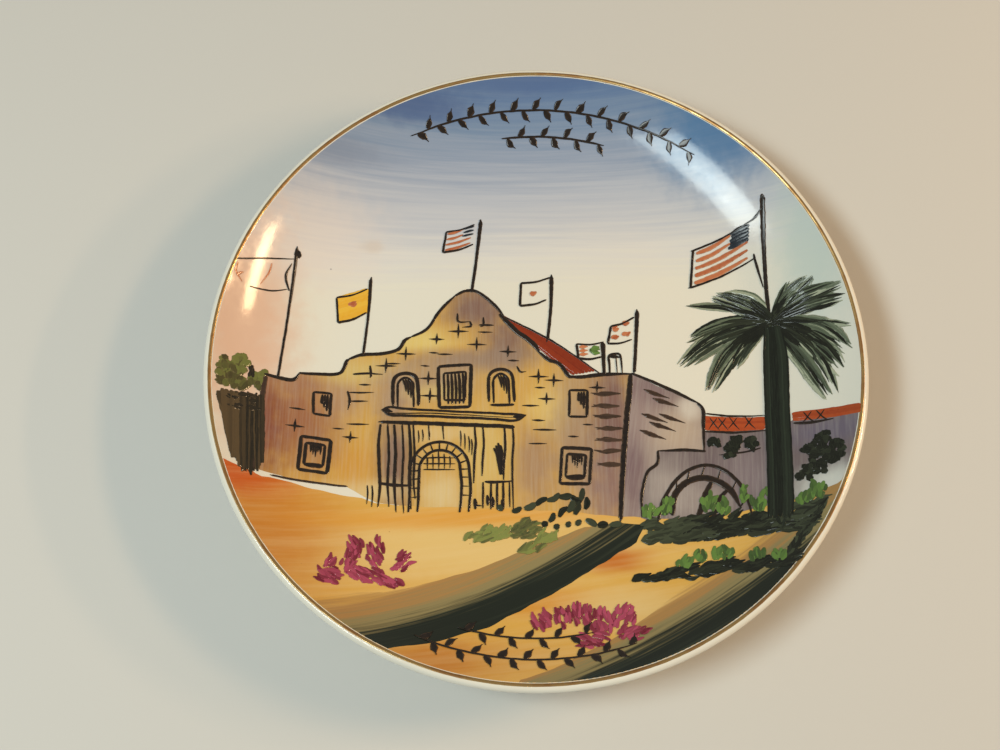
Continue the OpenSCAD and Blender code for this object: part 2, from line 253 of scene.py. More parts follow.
floor_mesh = bpy.data.meshes.new("floor")
HALF_FLOOR = 1.5
floor_mesh.from_pydata([(-HALF_FLOOR, -HALF_FLOOR, 0), (HALF_FLOOR, -HALF_FLOOR, 0),
                        (HALF_FLOOR, HALF_FLOOR, 0), (-HALF_FLOOR, HALF_FLOOR, 0)],
                       [], [(0, 1, 2, 3)])
floor = added("floor", floor_mesh)
floor_paint = bpy.data.materials.new("pale_table")
floor_paint.use_nodes = True
floor_finish = floor_paint.node_tree.nodes["Principled BSDF"].inputs
floor_finish["Base Color"].default_value = (0.60, 0.59, 0.56, 1)
floor_finish["Roughness"].default_value = 0.8
floor_mesh.materials.append(floor_paint)
print("lights:", len(bpy.data.lights))

# %% [markdown]
# ## Effects that more than one colour uses
# Every enamel shows the same few things: fine streaks that the brush hairs leave, colour that
# pools and thins, specks of unground pigment, and a slightly rippled gloss. Each is one shader
# group, so that each paint can use it at its own scale. All of them read a place in millimetres.

# %% Brush streaks: noise stretched along the stroke
streaks, given, made = new_group("brush_streaks", "ShaderNodeTree", [
    ("Place", "Vector", None), ("Angle", "Float", 0.0), ("Length", "Float", 20.0),
    ("Width", "Float", 0.7), ("Low", "Float", 0.3), ("High", "Float", 0.7)], [("Mask", "Float")])
turned = put(streaks, "ShaderNodeVectorRotate", {"Vector": given["Place"], "Angle": times(streaks,
        given["Angle"], -math.pi / 180)}, rotation_type="Z_AXIS").outputs[0]
grain = put(streaks, "ShaderNodeCombineXYZ", {
    0: given["Length"], 1: given["Width"], 2: 30.0}).outputs[0]
stretched = vector(streaks, "DIVIDE", turned, grain)
hairs = cloud(streaks, stretched, 1.0, 4.0, 0.6)
made_mask = put(streaks, "ShaderNodeMapRange", {0: hairs, 1: given["Low"], 2: given["High"]},
                interpolation_type="SMOOTHSTEP").outputs[0]
streaks.links.new(made_mask, made["Mask"])
print("brush streaks:", len(streaks.nodes), "nodes")

# %% [markdown]
# Ground pigment and glaze are never quite clean, so small dark grains show on every real plate. A
# cell pattern gives one grain to a cell, and the cell's own random colour decides whether that
# grain is there, so the grains fall unevenly without a list of them.

# %% Specks: small dark grains scattered by a cell pattern
specks, given, made = new_group("pigment_specks", "ShaderNodeTree", [
    ("Place", "Vector", None), ("Spacing", "Float", 4.0), ("Size", "Float", 0.12),
    ("Share", "Float", 0.4)], [("Mask", "Float")])
spaced = vector(specks, "SCALE", given["Place"], calc(specks, "DIVIDE", 1.0, given["Spacing"]))
cells = put(specks, "ShaderNodeTexVoronoi", {"Vector": spaced, "Scale": 1.0}, voronoi_dimensions="3D")
chosen = calc(specks, "LESS_THAN", put(specks, "ShaderNodeSeparateColor", {
    0: cells.outputs["Color"]}).outputs[0], given["Share"])
reach = calc(specks, "DIVIDE", given["Size"], given["Spacing"])
near = calc(specks, "SUBTRACT", 1.0, calc(specks, "DIVIDE", cells.outputs["Distance"], reach))
soft = put(specks, "ShaderNodeMapRange", {0: near, 1: 0.0, 2: 0.4}).outputs[0]
specks.links.new(times(specks, soft, chosen), made["Mask"])

# %% [markdown]
# Wet enamel collects in pools that fade at their edges. A pool is the distance from a centre,
# squeezed to an oval, pushed about by noise and softened, so one group serves every wash.

# %% Soft patch: a pool of colour round a centre, with a ragged edge
patch, given, made = new_group("soft_patch", "ShaderNodeTree", [
    ("Place", "Vector", None), ("Centre", "Vector", None), ("Reach", "Vector", (5, 5, 1)),
    ("Softness", "Float", 0.6), ("Raggedness", "Float", 0.25)], [("Mask", "Float")])
away = vector(patch, "SUBTRACT", given["Place"], given["Centre"])
flat = vector(patch, "MULTIPLY", away, (1, 1, 0))
scaled = vector(patch, "DIVIDE", flat, given["Reach"])
distance = vector(patch, "LENGTH", scaled)
ragged = cloud(patch, given["Place"], 0.35, 3.0)
pushed = calc(patch, "ADD", distance, times(patch, calc(patch, "SUBTRACT", ragged, 0.5),
                                            times(patch, given["Raggedness"], 4.0)))
patch_mask = put(patch, "ShaderNodeMapRange", {
    0: pushed, 1: calc(patch, "ADD", 1.0, given["Softness"]), 2: calc(
        patch, "SUBTRACT", 1.0, given["Softness"])}, interpolation_type="SMOOTHSTEP").outputs[0]
patch.links.new(patch_mask, made["Mask"])
print("soft patch:", len(patch.nodes), "nodes")

# %% [markdown]
# Fired glaze is not a mirror: it swells a little, has a fine orange peel, and keeps a pinhole
# here and there where a bubble burst. These only bend the highlights, so they are a height for
# the bump and a small change of roughness, not real geometry.

# %% Fired gloss: faint orange peel and a few pinholes, as roughness and height
gloss, given, made = new_group("fired_gloss", "ShaderNodeTree", [
    ("Place", "Vector", None), ("Ripple", "Float", 1.0), ("Base Roughness", "Float", 0.1)],
    [("Roughness", "Float"), ("Height", "Float")])
swell = cloud(gloss, given["Place"], 0.16, 1.0)
peel = cloud(gloss, given["Place"], 0.9)
pits = use(gloss, specks, Place=given["Place"], Spacing=5.0, Size=0.11, Share=0.35)["Mask"]
waves = calc(gloss, "ADD", times(gloss, swell, 2.2), times(gloss, peel, 0.35))
height = calc(gloss, "SUBTRACT", times(gloss, waves, given["Ripple"]), pits)
gloss.links.new(height, made["Height"])
uneven = put(gloss, "ShaderNodeMapRange", {0: peel, 1: 0.3, 2: 0.7, 3: -0.03, 4: 0.04}).outputs[0]
gloss.links.new(calc(gloss, "ADD", given["Base Roughness"], uneven), made["Roughness"])
print("shared effects:", [g.name for g in bpy.data.node_groups])

# %% [markdown]
# ## The colours of the sky and the sand
# The sky is one wash brushed from side to side: strong blue under the lip, thinning through
# lavender to bare ivory. The sand is orange where the paint pools and straw where it is thin.
# Both are groups, because the paths and other strokes have to fade into them.

# %% Sky colours
IVORY = (0.755, 0.725, 0.63, 1)
sky_colours, given, made = new_group("sky_colours", "ShaderNodeTree", [
    ("Place", "Vector", None)], [("Colour", "Color")])
side, up, _ = put(sky_colours, "ShaderNodeSeparateXYZ", {0: given["Place"]}).outputs
hairs = use(sky_colours, streaks, Place=given["Place"], Angle=-2.0, Length=34.0, Width=1.0,
            Low=0.2, High=0.8)["Mask"]
level = calc(sky_colours, "ADD", up, calc(sky_colours, "MULTIPLY_ADD", hairs, 6.0, -3.0))
fade = put(sky_colours, "ShaderNodeMapRange", {0: level, 1: 19.0, 2: 61.0}).outputs[0]
ramp = put(sky_colours, "ShaderNodeValToRGB", {0: fade})
SKY_STOPS = [(0.0, IVORY), (0.18, (0.70, 0.68, 0.65, 1)), (0.34, (0.56, 0.57, 0.61, 1)),
             (0.5, (0.46, 0.49, 0.565, 1)), (0.66, (0.31, 0.365, 0.48, 1)),
             (0.82, (0.20, 0.28, 0.42, 1)), (1.0, (0.115, 0.195, 0.37, 1))]
for spot, shade in SKY_STOPS[1:-1]:
    ramp.color_ramp.elements.new(spot)
for element, (spot, shade) in zip(ramp.color_ramp.elements, SKY_STOPS):
    element.position, element.color = spot, shade
colour = ramp.outputs[0]
# Pools of deeper and paler wash in the sky. Three of them are painted light: the pale green-grey pool on
# the right at (56, 22) stands in for the cool window's light, and the peach pools on the left at (-57,
# 12) and (-44, 30) stand in for the warm lamps' light.
SKY_POOLS_AND_LIGHT_TINTS = [((-24, 57), (11, 3.2), (0.07, 0.12, 0.28, 1), 0.75),
             ((2, 61), (16, 2.2), (0.09, 0.15, 0.32, 1), 0.6),
             ((-38, 47), (9, 2.4), (0.22, 0.26, 0.36, 1), 0.5),
             ((40, 48), (11, 10), (0.06, 0.185, 0.38, 1), 0.8),
             # painted cool light on the right here, then painted warm light on the left in the next two
             ((56, 22), (6, 16), (0.50, 0.60, 0.56, 1), 0.65),
             ((-57, 12), (9, 22), (0.72, 0.43, 0.29, 1), 0.8),
             ((-44, 30), (12, 9), (0.76, 0.66, 0.60, 1), 0.5),
             ((-32, 29), (2.2, 1.2), (0.60, 0.48, 0.38, 1), 0.35)]
for centre, reach, shade, strength in SKY_POOLS_AND_LIGHT_TINTS:
    pool = use(sky_colours, patch, Place=given["Place"], Centre=(*centre, 0), Reach=(*reach, 1),
               Softness=0.7, Raggedness=0.22)["Mask"]
    colour = blend(sky_colours, times(sky_colours, pool, strength), colour, shade)
dots = use(sky_colours, specks, Place=given["Place"], Spacing=7.0, Size=0.2, Share=0.3)["Mask"]
colour = blend(sky_colours, times(sky_colours, dots, 0.7), colour, (0.12, 0.12, 0.16, 1))
sky_colours.links.new(colour, made["Colour"])
print("sky:", len(SKY_STOPS), "stops and", len(SKY_POOLS_AND_LIGHT_TINTS), "pools")

# %% [markdown]
# The sand in front of the church is one orange wash as well. It was laid with a wide soft brush,
# so it has broad bands, deep orange where the brush turned and straw where it ran dry.

# %% Sand colours
sand_colours, given, made = new_group("sand_colours", "ShaderNodeTree", [
    ("Place", "Vector", None)], [("Colour", "Color")])
colour = blend(sand_colours, 0.0, (0.68, 0.385, 0.075, 1), (0, 0, 0, 1))
SAND_POOLS = [((-16, -35), (30, 6), (0.74, 0.51, 0.19, 1), 0.95),
              ((-52, -31), (13, 14), (0.56, 0.20, 0.02, 1), 0.85),
              ((-58, -20), (10, 4.5), (0.55, 0.085, 0.004, 1), 0.95),
              ((-14, -28.6), (26, 1.9), (0.70, 0.31, 0.035, 1), 0.8),
              ((13, -38.2), (7, 2.2), (0.52, 0.13, 0.008, 1), 0.9),
              ((0, -46), (9, 2.6), (0.62, 0.24, 0.025, 1), 0.7),
              ((14, -48), (10, 3.6), (0.72, 0.50, 0.20, 1), 0.85),
              ((27, -38.6), (8, 1.4), (0.74, 0.47, 0.13, 1), 0.7),
              ((-20, -57), (12, 4), (0.50, 0.17, 0.02, 1), 0.8),
              ((-4, -57), (9, 3), (0.62, 0.33, 0.08, 1), 0.7)]
for centre, reach, shade, strength in SAND_POOLS:
    pool = use(sand_colours, patch, Place=given["Place"], Centre=(*centre, 0), Reach=(*reach, 1),
               Softness=0.75, Raggedness=0.12)["Mask"]
    colour = blend(sand_colours, times(sand_colours, pool, strength), colour, shade)
broad = use(sand_colours, streaks, Place=given["Place"], Angle=6.0, Length=26.0, Width=1.4,
            Low=0.3, High=0.8)["Mask"]
colour = blend(sand_colours, times(sand_colours, broad, 0.28), colour, (0.80, 0.60, 0.30, 1))
sand_colours.links.new(colour, made["Colour"])
print("sand:", len(SAND_POOLS), "pools")

# %% [markdown]
# ## Paints
# One function makes every enamel: it reads the place in millimetres, asks for the paint's own
# colour there, and finishes it with the fired gloss. The Principled shader stays in the material
# itself, and each paint below only says how its colour moves.

# %% One fired enamel
def new_material(name):
    """A material with its tree, its shader, and the place on the plate in millimetres."""
    made = bpy.data.materials.new(name)
    made.use_nodes = True
    tree = made.node_tree
    spot = put(tree, "ShaderNodeTexCoord").outputs["Object"]
    place = vector(tree, "SCALE", spot, 1000.0)
    return made, tree, tree.nodes["Principled BSDF"], place


SLOT_OF = {"worn_gilt": "gilt"}


def enamel(name, slot, colour_at, roughness=0.1, ripple=1.0):
    """A fired paint: its own colour under the shared gloss. The slot says what it is made of."""
    paint, tree, shader, place = new_material(name)
    SLOT_OF[name] = slot
    shader.inputs["IOR"].default_value = 1.52
    tree.links.new(colour_at(tree, place), shader.inputs["Base Color"])
    skin = use(tree, gloss, Place=place, Ripple=ripple, Base_Roughness=roughness)
    tree.links.new(skin["Roughness"], shader.inputs["Roughness"])
    relief = put(tree, "ShaderNodeBump", {"Strength": 1.0, "Distance": GLOSS_RIPPLE,
                                          "Height": skin["Height"]})
    tree.links.new(relief.outputs[0], shader.inputs["Normal"])
    return paint


def drawn(tree, name):
    """A value that the brush left along its stroke: tone, across or along."""
    return put(tree, "ShaderNodeAttribute", attribute_name=name).outputs["Fac"]


# %% [markdown]
# The glaze is ivory, with a slow drift of tone from the kiln and a few iron specks. The sky and
# the sand only ask their groups for the colour, and the gloss comes from the function above.

# %% Glaze, sky and sand
def ivory_at(tree, place):
    drift = cloud(tree, place, 0.05)
    colour = blend(tree, ease(tree, drift, 0.35, 0.7), IVORY, (0.775, 0.75, 0.66, 1))
    iron = use(tree, specks, Place=place, Spacing=9.0, Size=0.16, Share=0.25)["Mask"]
    return blend(tree, times(tree, iron, 0.6), colour, (0.25, 0.17, 0.10, 1))


ivory_glaze = enamel("ivory_glaze", "ivory_glaze", ivory_at, 0.07, 0.8)
sky_paint = enamel("sky_blue_wash", "blue_sky_enamel", lambda tree, place: use(
    tree, sky_colours, Place=place)["Colour"], 0.1)


def sand_at(tree, place):
    colour = use(tree, sand_colours, Place=place)["Colour"]
    grit = use(tree, specks, Place=place, Spacing=5.0, Size=0.14, Share=0.3)["Mask"]
    return blend(tree, times(tree, grit, 0.6), colour, (0.28, 0.12, 0.03, 1))


sand_paint = enamel("orange_sand_wash", "orange_sand_enamel", sand_at, 0.12)


# %% [markdown]
# The paths are wide flat-brush strokes of dark green, swung round a far centre as an arm swings.
# The outer edge is loaded and nearly black, and the inner edge runs dry through olive into the
# sand. The paint measures how far a place lies from the arm's centre, frays that distance with
# long curved streaks, and ramps from sand to dark by it.

# %% Path greens
def path_paint(name, centre, stops, fray):
    """centre is where the arm swings from; stops are radii where the paint turns darker."""
    dry, pale, olive, dark = stops

    def colour_at(tree, place):
        arm = vector(tree, "SUBTRACT", place, (*centre, 0))
        flat = vector(tree, "MULTIPLY", arm, (1, 1, 0))
        radius = vector(tree, "LENGTH", flat)
        x, y, _ = put(tree, "ShaderNodeSeparateXYZ", {0: arm}).outputs
        swept = times(tree, calc(tree, "ARCTAN2", y, x), dark)
        curved = put(tree, "ShaderNodeCombineXYZ", {0: swept, 1: radius}).outputs[0]
        for length, width in ((34.0, 0.45), (48.0, 2.2)):
            hairs = use(tree, streaks, Place=curved, Angle=0.0, Length=length, Width=width,
                        Low=0.2, High=0.8)["Mask"]
            radius = calc(tree, "ADD", radius, calc(tree, "MULTIPLY_ADD", hairs, fray, -fray / 2))
        sand = use(tree, sand_colours, Place=place)["Colour"]
        colour = blend(tree, ease(tree, radius, dry, pale), sand, (0.39, 0.215, 0.072, 1))
        colour = blend(tree, ease(tree, radius, pale, olive), colour, (0.265, 0.215, 0.095, 1))
        wet = use(tree, streaks, Place=curved, Angle=0.0, Length=40.0, Width=0.8, Low=0.45,
                  High=0.9)["Mask"]
        deep = blend(tree, wet, (0.011, 0.016, 0.011, 1), (0.045, 0.055, 0.034, 1))
        return blend(tree, ease(tree, radius, olive, dark), colour, deep)
    return enamel(name, "dark_green_enamel", colour_at, 0.13, 1.6)


near_path_paint = path_paint("near_path_green", (-67.8, 98.6), (144.4, 148.6, 152.0, 155.0), 3.0)
far_path_paint = path_paint("far_path_green", (-63.2, 116.7), (183.5, 186.5, 188.8, 191.2), 2.6)


# %% [markdown]
# The church wall is a yellow ochre wash over which the painter dropped mauve while it was wet.
# The two run together in soft pools, so the wall's colour is ochre with a list of pools in it.
# The side wall and the low wing are mostly mauve, and the same function paints them.

# %% Wall washes
OCHRE = (0.61, 0.35, 0.075, 1)
MAUVE = (0.18, 0.10, 0.095, 1)
PLUM = (0.145, 0.075, 0.098, 1)
RUST = (0.20, 0.045, 0.03, 1)
STRAW = (0.70, 0.52, 0.24, 1)


def wall_paint(name, slot, base, pools, angle):
    def colour_at(tree, place):
        colour = blend(tree, 0.0, base, base)
        for centre, reach, shade, strength in pools:
            pool = use(tree, patch, Place=place, Centre=(*centre, 0), Reach=(*reach, 1),
                       Softness=0.8, Raggedness=0.2)["Mask"]
            colour = blend(tree, times(tree, pool, strength), colour, shade)
        hairs = use(tree, streaks, Place=place, Angle=angle, Length=9.0, Width=0.45, Low=0.3,
                    High=0.85)["Mask"]
        colour = blend(tree, times(tree, hairs, 0.16), colour, IVORY)
        grit = use(tree, specks, Place=place, Spacing=4.0, Size=0.12, Share=0.25)["Mask"]
        return blend(tree, times(tree, grit, 0.5), colour, (0.16, 0.09, 0.06, 1))
    return enamel(name, slot, colour_at, 0.12)


FRONT_POOLS = [((-46, -9), (7, 9), (0.285, 0.10, 0.052, 1), 0.9),
               ((-53, -9), (3.6, 12), RUST, 0.85), ((-47, 0), (6, 3), (0.33, 0.16, 0.10, 1), 0.75),
               ((-38, -3), (4, 5), (0.40, 0.24, 0.15, 1), 0.7),
               ((-35, 2), (7, 2.4), (0.64, 0.46, 0.15, 1), 0.85),
               ((-22, 8.4), (7, 2.2), (0.72, 0.54, 0.17, 1), 0.95), ((-11, 15), (6, 5), MAUVE, 0.9),
               ((-5, 7), (5, 5), MAUVE, 0.85), ((-15, 9.5), (4, 1.8), OCHRE, 0.6),
               ((-12, 3.6), (11, 2.2), (0.27, 0.175, 0.13, 1), 0.85),
               ((-20, 0), (9, 4), (0.36, 0.25, 0.17, 1), 0.7),
               ((-28, -3), (4, 5), (0.38, 0.25, 0.17, 1), 0.75),
               ((-28, -17), (3.4, 9), MAUVE, 0.85),
               ((3, -7.6), (4, 4.6), (0.74, 0.52, 0.16, 1), 0.95),
               ((-20, -3), (5, 1.4), (0.66, 0.48, 0.17, 1), 0.6),
               ((-1, -19), (3.6, 7), (0.38, 0.22, 0.115, 1), 0.9),
               ((8, -14), (5, 13), (0.33, 0.215, 0.15, 1), 0.8), ((15, -10), (4, 15), PLUM, 0.85),
               ((13, -25), (4, 7), (0.25, 0.15, 0.145, 1), 0.75),
               ((-19, -24), (3.4, 3.6), STRAW, 0.9), ((-34, -22.6), (7, 2), STRAW, 0.8),
               ((-36, -17), (4, 4), (0.59, 0.28, 0.035, 1), 0.75),
               ((-43, -14), (4, 4), (0.38, 0.19, 0.08, 1), 0.5),
               ((-10, -16), (4, 8), (0.66, 0.46, 0.14, 1), 0.8),
               ((-18, -11.6), (6, 1.6), STRAW, 0.6)]
facade_paint = wall_paint("ochre_and_mauve_wall", "ochre_wall_enamel", OCHRE, FRONT_POOLS, 88)
SIDE_POOLS = [((27, -13), (5, 5), (0.48, 0.37, 0.28, 1), 0.9), ((22, -5), (6, 4), PLUM, 0.7),
              ((18, -18), (2.4, 12), PLUM, 0.75), ((20, -10), (3.4, 5), (0.34, 0.25, 0.23, 1), 0.7),
              ((30, -8.5), (2, 2), (0.66, 0.60, 0.52, 1), 0.7)]
side_wall_paint = wall_paint("mauve_side_wall", "mauve_wall_enamel", (0.335, 0.26, 0.23, 1),
                             SIDE_POOLS, 80)
WING_POOLS = [((56, -16.5), (9, 2.6), (0.14, 0.115, 0.16, 1), 0.85),
              ((25, -24), (5, 5), (0.42, 0.36, 0.33, 1), 0.7),
              ((33, -20), (7, 2.2), (0.15, 0.11, 0.12, 1), 0.7),
              ((40, -23), (4, 5), (0.24, 0.185, 0.20, 1), 0.6),
              ((54, -27.4), (6, 3.4), (0.66, 0.66, 0.60, 1), 0.9),
              ((31, -28), (4.6, 3), (0.40, 0.33, 0.30, 1), 0.6)]
wing_paint = wall_paint("grey_mauve_wing", "mauve_wall_enamel", (0.16, 0.12, 0.125, 1), WING_POOLS, 84)


# %% [markdown]
# Brush paints read what each stroke carries: its own tone, and how far across the brush a place
# lies. Liner enamel is nearly black where it is thick and brown where it thins at the edges.
# The greens, red, yellow and magenta are semi-opaque, streaked along the stroke.

# %% Brush paints
def brush_paint(name, slot, deep, light, edge, thinning=0.3):
    """deep and light are the two ends of a stroke's tone; edge is how it looks when thin."""
    def colour_at(tree, place):
        tone, across, along = (drawn(tree, what) for what in ("tone", "across", "along"))
        travel = put(tree, "ShaderNodeCombineXYZ", {0: times(tree, along, 0.12), 1: times(tree,
                across, 2.6), 2: times(tree, tone, 37.0)}).outputs[0]
        hairs = cloud(tree, travel, 1.6, 3.0, 0.65)
        colour = blend(tree, ease(tree, tone, 0.05, 0.8), deep, light)
        colour = blend(tree, times(tree, ease(tree, hairs, 0.42, 0.7), 0.35), colour, light)
        rim = ease(tree, calc(tree, "ABSOLUTE", across), 0.45, 1.0)
        mottle = cloud(tree, place, 1.2)
        thin = times(tree, calc(tree, "MULTIPLY_ADD", rim, thinning, 0.1),
                     ease(tree, mottle, 0.25, 0.6))
        return blend(tree, thin, colour, edge)
    return enamel(name, slot, colour_at, 0.12, 1.4)


liner = brush_paint("black_liner", "black_liner_enamel", (0.008, 0.006, 0.006, 1),
                    (0.020, 0.013, 0.010, 1), (0.085, 0.048, 0.024, 1), 0.7)
canton_blue = brush_paint("canton_blue", "black_liner_enamel", (0.008, 0.012, 0.020, 1),
                          (0.03, 0.05, 0.075, 1), (0.05, 0.07, 0.09, 1))
brown_liner = brush_paint("brown_liner", "black_liner_enamel", (0.022, 0.013, 0.009, 1),
                          (0.06, 0.034, 0.022, 1), (0.15, 0.085, 0.05, 1), 0.8)
brick_red = brush_paint("brick_red", "brick_red_enamel", (0.16, 0.014, 0.004, 1),
                        (0.30, 0.036, 0.008, 1), (0.36, 0.08, 0.02, 1))
tile_red = brush_paint("tile_red", "brick_red_enamel", (0.26, 0.03, 0.008, 1),
                       (0.46, 0.075, 0.016, 1), (0.52, 0.14, 0.04, 1))
rust_red = brush_paint("flag_red", "brick_red_enamel", (0.38, 0.085, 0.03, 1),
                       (0.56, 0.18, 0.07, 1), (0.68, 0.38, 0.22, 1), 0.8)
flag_yellow = brush_paint("flag_yellow", "yellow_enamel", (0.74, 0.36, 0.02, 1),
                          (0.80, 0.48, 0.045, 1), (0.80, 0.56, 0.15, 1))
palm_green = brush_paint("palm_green", "dark_green_enamel", (0.004, 0.007, 0.005, 1),
                         (0.125, 0.155, 0.10, 1), (0.06, 0.08, 0.05, 1))
trunk_green = brush_paint("trunk_green", "dark_green_enamel", (0.004, 0.006, 0.004, 1),
                          (0.034, 0.048, 0.03, 1), (0.016, 0.024, 0.014, 1))
dry_green = brush_paint("dry_brush_green", "dark_green_enamel", (0.07, 0.10, 0.06, 1),
                        (0.40, 0.43, 0.31, 1), (0.46, 0.48, 0.37, 1), 0.6)
leaf_green = brush_paint("leaf_green", "leaf_green_enamel", (0.028, 0.055, 0.018, 1),
                         (0.12, 0.23, 0.045, 1), (0.14, 0.18, 0.07, 1))
olive_green = brush_paint("olive_green", "olive_green_enamel", (0.05, 0.042, 0.015, 1),
                          (0.15, 0.17, 0.04, 1), (0.22, 0.16, 0.06, 1))
bark_green = brush_paint("bark_green", "olive_green_enamel", (0.010, 0.009, 0.006, 1),
                         (0.10, 0.066, 0.03, 1), (0.06, 0.042, 0.02, 1))
sage_green = brush_paint("sage_green", "olive_green_enamel", (0.045, 0.055, 0.022, 1),
                         (0.20, 0.24, 0.06, 1), (0.40, 0.30, 0.10, 1), 0.5)
shadow_green = brush_paint("shadow_green", "dark_green_enamel", (0.003, 0.004, 0.003, 1),
                           (0.055, 0.068, 0.038, 1), (0.028, 0.034, 0.02, 1))
magenta = brush_paint("magenta_flower", "magenta_enamel", (0.12, 0.004, 0.017, 1),
                      (0.42, 0.065, 0.13, 1), (0.46, 0.10, 0.12, 1), 0.4)

# %% [markdown]
# The gilt line is liquid gold, fired to a thin dark film and worn brown where the brush ran dry.
# It is metal, so it needs a metallic shader: bright gold where it is thick, brown lustre where
# it is thin. The foot's bare base is fired biscuit, matt and a little soiled by handling.

# %% Gilt and bare biscuit
gilt, tree, shader, place = new_material("worn_gilt")
wear = cloud(tree, place, 0.22, 5.0)
thin = ease(tree, wear, 0.38, 0.62)
tree.links.new(blend(tree, thin, (0.72, 0.48, 0.20, 1), (0.36, 0.19, 0.07, 1)),
               shader.inputs["Base Color"])
tree.links.new(calc(tree, "MULTIPLY_ADD", thin, -0.2, 0.98), shader.inputs["Metallic"])
tree.links.new(calc(tree, "MULTIPLY_ADD", thin, 0.15, 0.24), shader.inputs["Roughness"])

biscuit, tree, shader, place = new_material("bare_biscuit")
shader.inputs["Specular IOR Level"].default_value = 0.3
grain = cloud(tree, place, 3.0, 4.0)
soil = cloud(tree, place, 0.12, 3.0)
clay = blend(tree, ease(tree, grain, 0.35, 0.7), (0.72, 0.67, 0.58, 1), (0.62, 0.56, 0.46, 1))
clay = blend(tree, times(tree, ease(tree, soil, 0.5, 0.75), 0.5), clay, (0.36, 0.29, 0.20, 1))
tree.links.new(clay, shader.inputs["Base Color"])
shader.inputs["Roughness"].default_value = 0.75
relief = put(tree, "ShaderNodeBump", {"Strength": 0.6, "Distance": 0.03 * MM, "Height": grain})
tree.links.new(relief.outputs[0], shader.inputs["Normal"])
print("paints and finishes:", len(bpy.data.materials))

# %% [markdown]
# ## Turning the glazed body
# A jigger shapes a plate by spinning clay under a profile, so the glazed surface is a profile
# turned about Z. The profile is two arcs closed by the round lip, with the foot ring below. The
# glaze is a coat with a real thickness, so each profile runs out along its surface and back
# along the clay beneath it. A Geometry Nodes tree turns any such profile: it lays a grid, reads
# the profile point of each row, and swings it round by the grid's column.

# %% The plate's section, worked out from its sizes
FACE_ARC_Z = FLOOR_H + WALL_ARC_R
FLOOR_UNDER = FLOOR_H - FLOOR_T
LIP_RUN = PLATE_R - LIP_R - FLOOR_R
LIP_Z = FACE_ARC_Z - math.sqrt((WALL_ARC_R + LIP_R) ** 2 - LIP_RUN ** 2)
UNDER_DROP = FLOOR_UNDER - LIP_Z
UNDER_ARC_R = (LIP_RUN ** 2 + UNDER_DROP ** 2 - LIP_R ** 2) / (-2 * (UNDER_DROP + LIP_R))
UNDER_ARC_Z = FLOOR_UNDER + UNDER_ARC_R
FACE_TURN = math.asin(LIP_RUN / (WALL_ARC_R + LIP_R))
FACE_END_R = FLOOR_R + WALL_ARC_R * math.sin(FACE_TURN)
UNDER_TURN = math.asin(LIP_RUN / (UNDER_ARC_R - LIP_R))


def arc(centre, radius, start, end, count):
    """Points of an arc in the section; angles turn from straight down, outwards."""
    angles = [start + (end - start) * i / count for i in range(count + 1)]
    return [(centre[0] + radius * math.sin(a), centre[1] - radius * math.cos(a)) for a in angles]


def spaced_line(first, last, count):
    return [tuple(a + (b - a) * i / count for a, b in zip(first, last)) for i in range(count)]


def upper_path(depth):
    """From the middle of the face out to the lip and round it, at a depth under the surface."""
    face = spaced_line((0, FLOOR_H - depth), (FLOOR_R, FLOOR_H - depth), 12)
    face += arc((FLOOR_R, FACE_ARC_Z), WALL_ARC_R + depth, 0, FACE_TURN, 44)
    lip_start, lip_end = FACE_TURN + math.pi, UNDER_TURN
    lip = arc((PLATE_R - LIP_R, LIP_Z), LIP_R - depth, lip_start, lip_end, 20)
    return face + lip[1:]


def under_wall(depth, stop_r):
    """From the lip down the outside to the given radius."""
    stop_turn = math.asin(max(stop_r - FLOOR_R, 0) / (UNDER_ARC_R - depth))
    return arc((FLOOR_R, UNDER_ARC_Z), UNDER_ARC_R - depth, UNDER_TURN, stop_turn, 30)[1:]


def foot_side(side, depth):
    """Down one side of the foot, eased into the body by a small fillet."""
    half = FOOT_HALF - depth
    low = (FOOT_R + side * half, BARE_H)
    high = (FOOT_R + side * (half + FOOT_FLARE * 0.75), FLOOR_UNDER - 0.3 * MM)
    fillet = (high[0] + side * FILLET, FLOOR_UNDER + depth + 0.02 * MM)
    middle = (high[0] + side * 0.12 * MM, FLOOR_UNDER - 0.02 * MM)
    return [fillet, middle, high] + spaced_line(high, low, 4)[1:] + [low]


FILLET_OUT = FOOT_R + FOOT_HALF + FOOT_FLARE * 0.75 + FILLET
FILLET_IN = FOOT_R - FOOT_HALF - FOOT_FLARE * 0.75 - FILLET
outer_coat = (upper_path(0) + under_wall(0, FILLET_OUT) + foot_side(1, 0)
              + foot_side(1, GLAZE_T)[::-1] + under_wall(GLAZE_T, FILLET_OUT)[::-1]
              + upper_path(GLAZE_T)[::-1])
inner_coat = (spaced_line((0, FLOOR_UNDER), (FILLET_IN, FLOOR_UNDER), 10) + foot_side(-1, 0)
              + foot_side(-1, GLAZE_T)[::-1]
              + spaced_line((0, FLOOR_UNDER + GLAZE_T), (FILLET_IN, FLOOR_UNDER + GLAZE_T), 10)[::-1])
print("section points:", len(outer_coat), "outside and", len(inner_coat), "inside the foot")

# %% [markdown]
# The turning could be a Screw modifier, but a node tree keeps the number of segments as an input
# and merges the poles itself, so the same tree turns the outer coat and the inner one.

